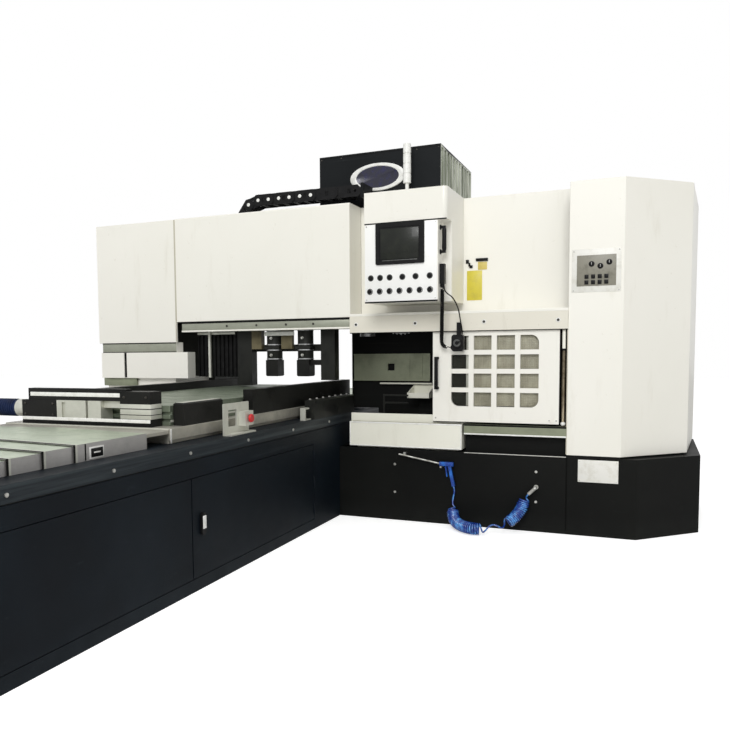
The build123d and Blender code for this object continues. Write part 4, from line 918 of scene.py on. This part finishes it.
def table_details():
    slabs("side_plate_rim", "table", LAMP, [(-150, -147.5, -2707, -2606, 806, 862)], 1)
    slabs("side_plate", "table", PLASTIC, [(-148, -146, -2698, -2615, 813, 855)], 1)
    slabs("side_plate_bar", "table", LAMP, [(-146.5, -144.5, -2680, -2634, 831, 838)], 0.8)
    slabs("jaw_stripe", "table", LAMP, [(-1171, -500, -2030, -2026.2, 1048.5, 1071.5)], 0.5)
    # The white sill strip is painted highlight along the jaw's ledge, and the dark strip under it
    # is its painted shadow.
    slabs("jaw_sill", "table", LAMP, [(-1228, -293, JAW_FRONT - 4, JAW_FRONT + 1, 907, 926)], 1)
    slabs("jaw_sill_shadow", "table", RUBBER, [(-1228, -293, -2041.5, -2039, 887, 906.5)], 0.5)
    slabs("saddle_edge", "table", LIGHT_STEEL, [(-1342, -158, -2064, -2060, 877.5, 885)], 0.8)
    slabs("head_wiper", "table", RUBBER, [(-1340, -160, -2277, -2270, 856, 876)], 1.5)
    slabs("jaw_end_face", "table", LIGHT_STEEL, [(-498, -289.5, -2041.5, -1936, 928, 1012)], 1)
    slabs("jaw_end_slots", "table", RUBBER,
          [(-498, -289, -2042, -1936, 950, 954), (-498, -289, -2042, -1936, 983, 988)], 0.4)
    bolts = [(x, z) for x in (-1205, -990) for z in (940, 1004)] + [(-470, 1050), (-320, 1050)]
    turned("jaw_bolts", "table", DARK_SCREW, [(x, JAW_FRONT, z) for x, z in bolts], "Y",
           cap_profile(8, 6), 6)
    fins = [(-1470 + 18 * number, -1987.5, 972) for number in range(9)]
    turned("jaw_motor_fins", "table", MOTOR_BLUE, fins, "X",
           [(50.2, 0), (54, 1), (54, 7), (50.2, 8)], 32)
    slabs("table_side_strip", "table", LIGHT_STEEL, [(-240, -238, -1925, 645, 905, 917)], 0.6)
    slabs("cover_side_band", "table", RUBBER, [(-150, -148.6, -2738, -2730, 803, 880)], 0.3)
    slabs("saddle_side_edge", "table", LAMP, [(-150, -148.5, -2058, -2046, 803, 883)], 0.5)


# Clamps and curtain

def clamp_details():
    slabs("cylinder_bar", "frame", LAMP, [(-716, -440, 111, 121, 1428, 1462)], 3)
    cylinders = (-655, -370)
    rings = [(x, 185, z) for x in cylinders for z in (1232, 1305, 1350, 1465)]
    turned("cylinder_rings", "frame", TOOL, rings, "Z",
           [(65.1, 0), (68, 1.5), (68, 8.5), (65.1, 10)], 40)
    ports = [(x, 120, z) for x in cylinders for z in (1268, 1408)]
    turned("cylinder_ports", "frame", ZINC, ports, "Y",
           [(0, -16), (8, -16), (9, -14), (9, -4), (13, -4), (13, 2), (0, 2)], 6)
    bolts = [(x, 120, 1515) for x in range(-1420, 1700, 240)]
    turned("clamp_beam_bolts", "frame", ZINC, bolts, "Y", cap_profile(9, 7), 6)
    slabs("curtain_clamp_bar", "frame", LIGHT_STEEL, [(-1384, -1011, 138, 146, 1448, 1470)], 1.5)


# Bed

def bed_details():
    # A dark strip painted as the shadow under the bed's rim band.
    slabs("rim_painted_shadow", "frame", RUBBER, [(-12.5, -10.5, -3498, -5, 721, 725)], 0.3)
    slabs("door_seals", "frame", RUBBER,
          [(-21, -20, near, far, low, low + 3) for near, far in ((-3438, -2094), (-2086, -492))
           for low in (71, 621.5)], 0.2)
    slabs("latch_lever", "latch", LAMP, [(18, 23, -2014, -1984, 336, 408)], 2)
    turned("guide_bolts", "frame", ZINC, [(-71, y, 940) for y in range(-395, 340, 122)], "Z",
           [(0, 0), (9, 0), (9, 5), (7, 8), (0, 8)], 6)


# Rear and far sides

CABINET_REAR = 1430
BOX_REAR = 1350
BASE_REAR = 1450


def pressed_door(mesh, left, right, rear, low, high):
    """A folded sheet door with a raised frame and a flat middle, on a rearward face."""
    slab(mesh, left, right, rear, rear + 4, low, high, 2)
    corners = slab(mesh, left + 22, right - 22, rear + 3, rear + 6, low + 22, high - 22)
    mesh.normal_update()
    faces = {face for vert in corners for face in vert.link_faces}
    top = [face for face in faces if face.normal.y > 0.9]
    bmesh.ops.inset_region(mesh, faces=top, thickness=0.014, depth=-0.001, use_even_offset=True)


def louvres(mesh, left, right, rear, low, high, pitch):
    """Rows of pressed louvres, each with a sloped hood over its slot."""
    for number in range(int((high - low) / pitch)):
        level = low + number * pitch
        corners = slab(mesh, left, right, rear, rear + 9, level, level + pitch * 0.62)
        middle = spot(0, rear + 5, level + 5)
        outer = [vert for vert in corners if vert.co.y > middle.y and vert.co.z > middle.z]
        bmesh.ops.translate(mesh, vec=(0, -0.0075, 0), verts=outer)


def rear_details():
    doors = ((1742, 2122, 620, 2380), (2130, 2510, 620, 2380),
             (-2300, -1930, 1430, 2390), (-1922, -1550, 1430, 2390))
    mesh = bmesh.new()
    for left, right, low, high in doors:
        pressed_door(mesh, left, right, CABINET_REAR, low, high)
    piece("cabinet_service_doors", mesh, "frame", IVORY)
    mesh = bmesh.new()
    for left, right, low, high in doors:
        louvres(mesh, left + 90, right - 90, CABINET_REAR + 3.5, high - 300, high - 90, 24)
    piece("cabinet_louvres", mesh, "frame", IVORY)
    handles = [(right - 34, CABINET_REAR + 6, (low + high) / 2)
               for left, right, low, high in doors[::2]]
    turned("service_door_locks", "frame", PLASTIC, handles, "Y",
           [(0, 0), (17, 0), (17, 5), (14, 7), (5, 7), (5, 16), (0, 16)], 24)
    slabs("service_door_levers", "frame", PLASTIC,
          [(x - 7, x + 7, y + 16, y + 24, z - 70, z + 14) for x, y, z in handles], 3)
    hinges = [(x, CABINET_REAR + 3, z)
              for x in (1738, 2514, -2304, -1546) for z in (1520, 1960, 2300)]
    turned("service_door_hinges", "frame", ZINC, hinges, "Z",
           [(0, 0), (5, 0), (6, 2), (6, 68), (5, 70), (0, 70)], 14)
    mesh = bmesh.new()
    louvres(mesh, -170, 620, BOX_REAR, 2540, 2790, 30)
    piece("box_louvres", mesh, "cross_carriage", BOX_BLACK)
    glands = [(x, BOX_REAR, 2495) for x in (-200, -140, 590, 650)]
    turned("box_rear_glands", "cross_carriage", PLASTIC, glands, "Y",
           [(0, 0), (16, 0), (16, 6), (13, 9), (13, 20), (8, 24), (0, 24)], 18)
    panels = ((-70, 760), (780, 1620))
    slabs("base_rear_panels", "frame", BLACK,
          [(left, right, BASE_REAR, BASE_REAR + 3, 60, 490) for left, right in panels], 1.5)
    screws = [(x, BASE_REAR + 3, z) for left, right in panels for x in (left + 25, right - 25)
              for z in (85, 465)]
    turned("base_rear_screws", "frame", ZINC, screws, "Y",
           [(0, 3), (5, 3), (8, 1.6), (8, 0), (0, 0)], 14)
    sides = ((-3432, -2094), (-2086, -498))
    slabs("bed_far_panels", "frame", NAVY,
          [(BED_LEFT - 3, BED_LEFT, near, far, 74, 621) for near, far in sides], 1.5)
    screws = [(BED_LEFT - 3, y, z)
              for near, far in sides for y in (near + 30, far - 30) for z in (104, 591)]
    turned("bed_far_screws", "frame", ZINC, screws, "X", cap_profile(8, 3), 14)


for build in (cover_trim, station_details, wall_details, door_details, carriage_details, cover_lips,
              table_details, clamp_details, bed_details, rear_details):
    build()


# Stage

FLOOR_HALF = 30
FLOOR_GLOW = 0.55
WORLD_LIGHT = 0.46
WORLD_SEEN = 1.0
LAMPS = (("key", (3.2, -16.4, 11.0), 8.0, 1950), ("top", (0.5, 0.5, 8.5), 5.0, 80))
LIT_POINT = Vector((0.2, 0.2, 1.0))


def stage():
    """A plain pale floor under an even sky, with two soft lamps."""
    floor_mesh = bmesh.new()
    bmesh.ops.create_grid(floor_mesh, x_segments=1, y_segments=1, size=FLOOR_HALF)
    data = bpy.data.meshes.new("floor")
    floor_mesh.to_mesh(data)
    floor_mesh.free()
    shader = Shader("pale_floor", Roughness=0.9)
    camera_ray = shader.node("LightPath", output="Is Camera Ray")
    tone = shader.blend(shader.noise(0.6), paint(244, 244, 243), paint(240, 240, 239))
    shader.done(Base_Color=tone, Emission_Color=(1, 1, 1, 1),
                Emission_Strength=camera_ray * FLOOR_GLOW)
    data.materials.append(shader.material)
    floor = bpy.data.objects.new("floor", data)
    bpy.context.scene.collection.objects.link(floor)

    world = bpy.data.worlds.new("studio")
    bpy.context.scene.world = world
    world.use_nodes = True
    tree = world.node_tree
    back = tree.nodes["Background"]
    rays = tree.nodes.new("ShaderNodeLightPath")
    seen = rays.outputs["Is Camera Ray"]
    for ray in ("Is Glossy Ray", "Is Transmission Ray"):
        either = tree.nodes.new("ShaderNodeMath")
        either.operation = "MAXIMUM"
        tree.links.new(seen, either.inputs[0])
        tree.links.new(rays.outputs[ray], either.inputs[1])
        seen = either.outputs[0]
    level = tree.nodes.new("ShaderNodeMapRange")
    level.inputs["To Min"].default_value = WORLD_LIGHT
    level.inputs["To Max"].default_value = WORLD_SEEN
    tree.links.new(seen, level.inputs["Value"])
    tree.links.new(level.outputs[0], back.inputs["Strength"])
    back.inputs["Color"].default_value = (1, 1, 1, 1)

    for name, place, size, power in LAMPS:
        lamp = bpy.data.lights.new(name, "AREA")
        lamp.size = size
        lamp.energy = power
        made = bpy.data.objects.new(name, lamp)
        made.location = place
        made.rotation_euler = (LIT_POINT - Vector(place)).to_track_quat("-Z", "Y").to_euler()
        bpy.context.scene.collection.objects.link(made)


stage()
bpy.context.scene.view_settings.view_transform = "Standard"
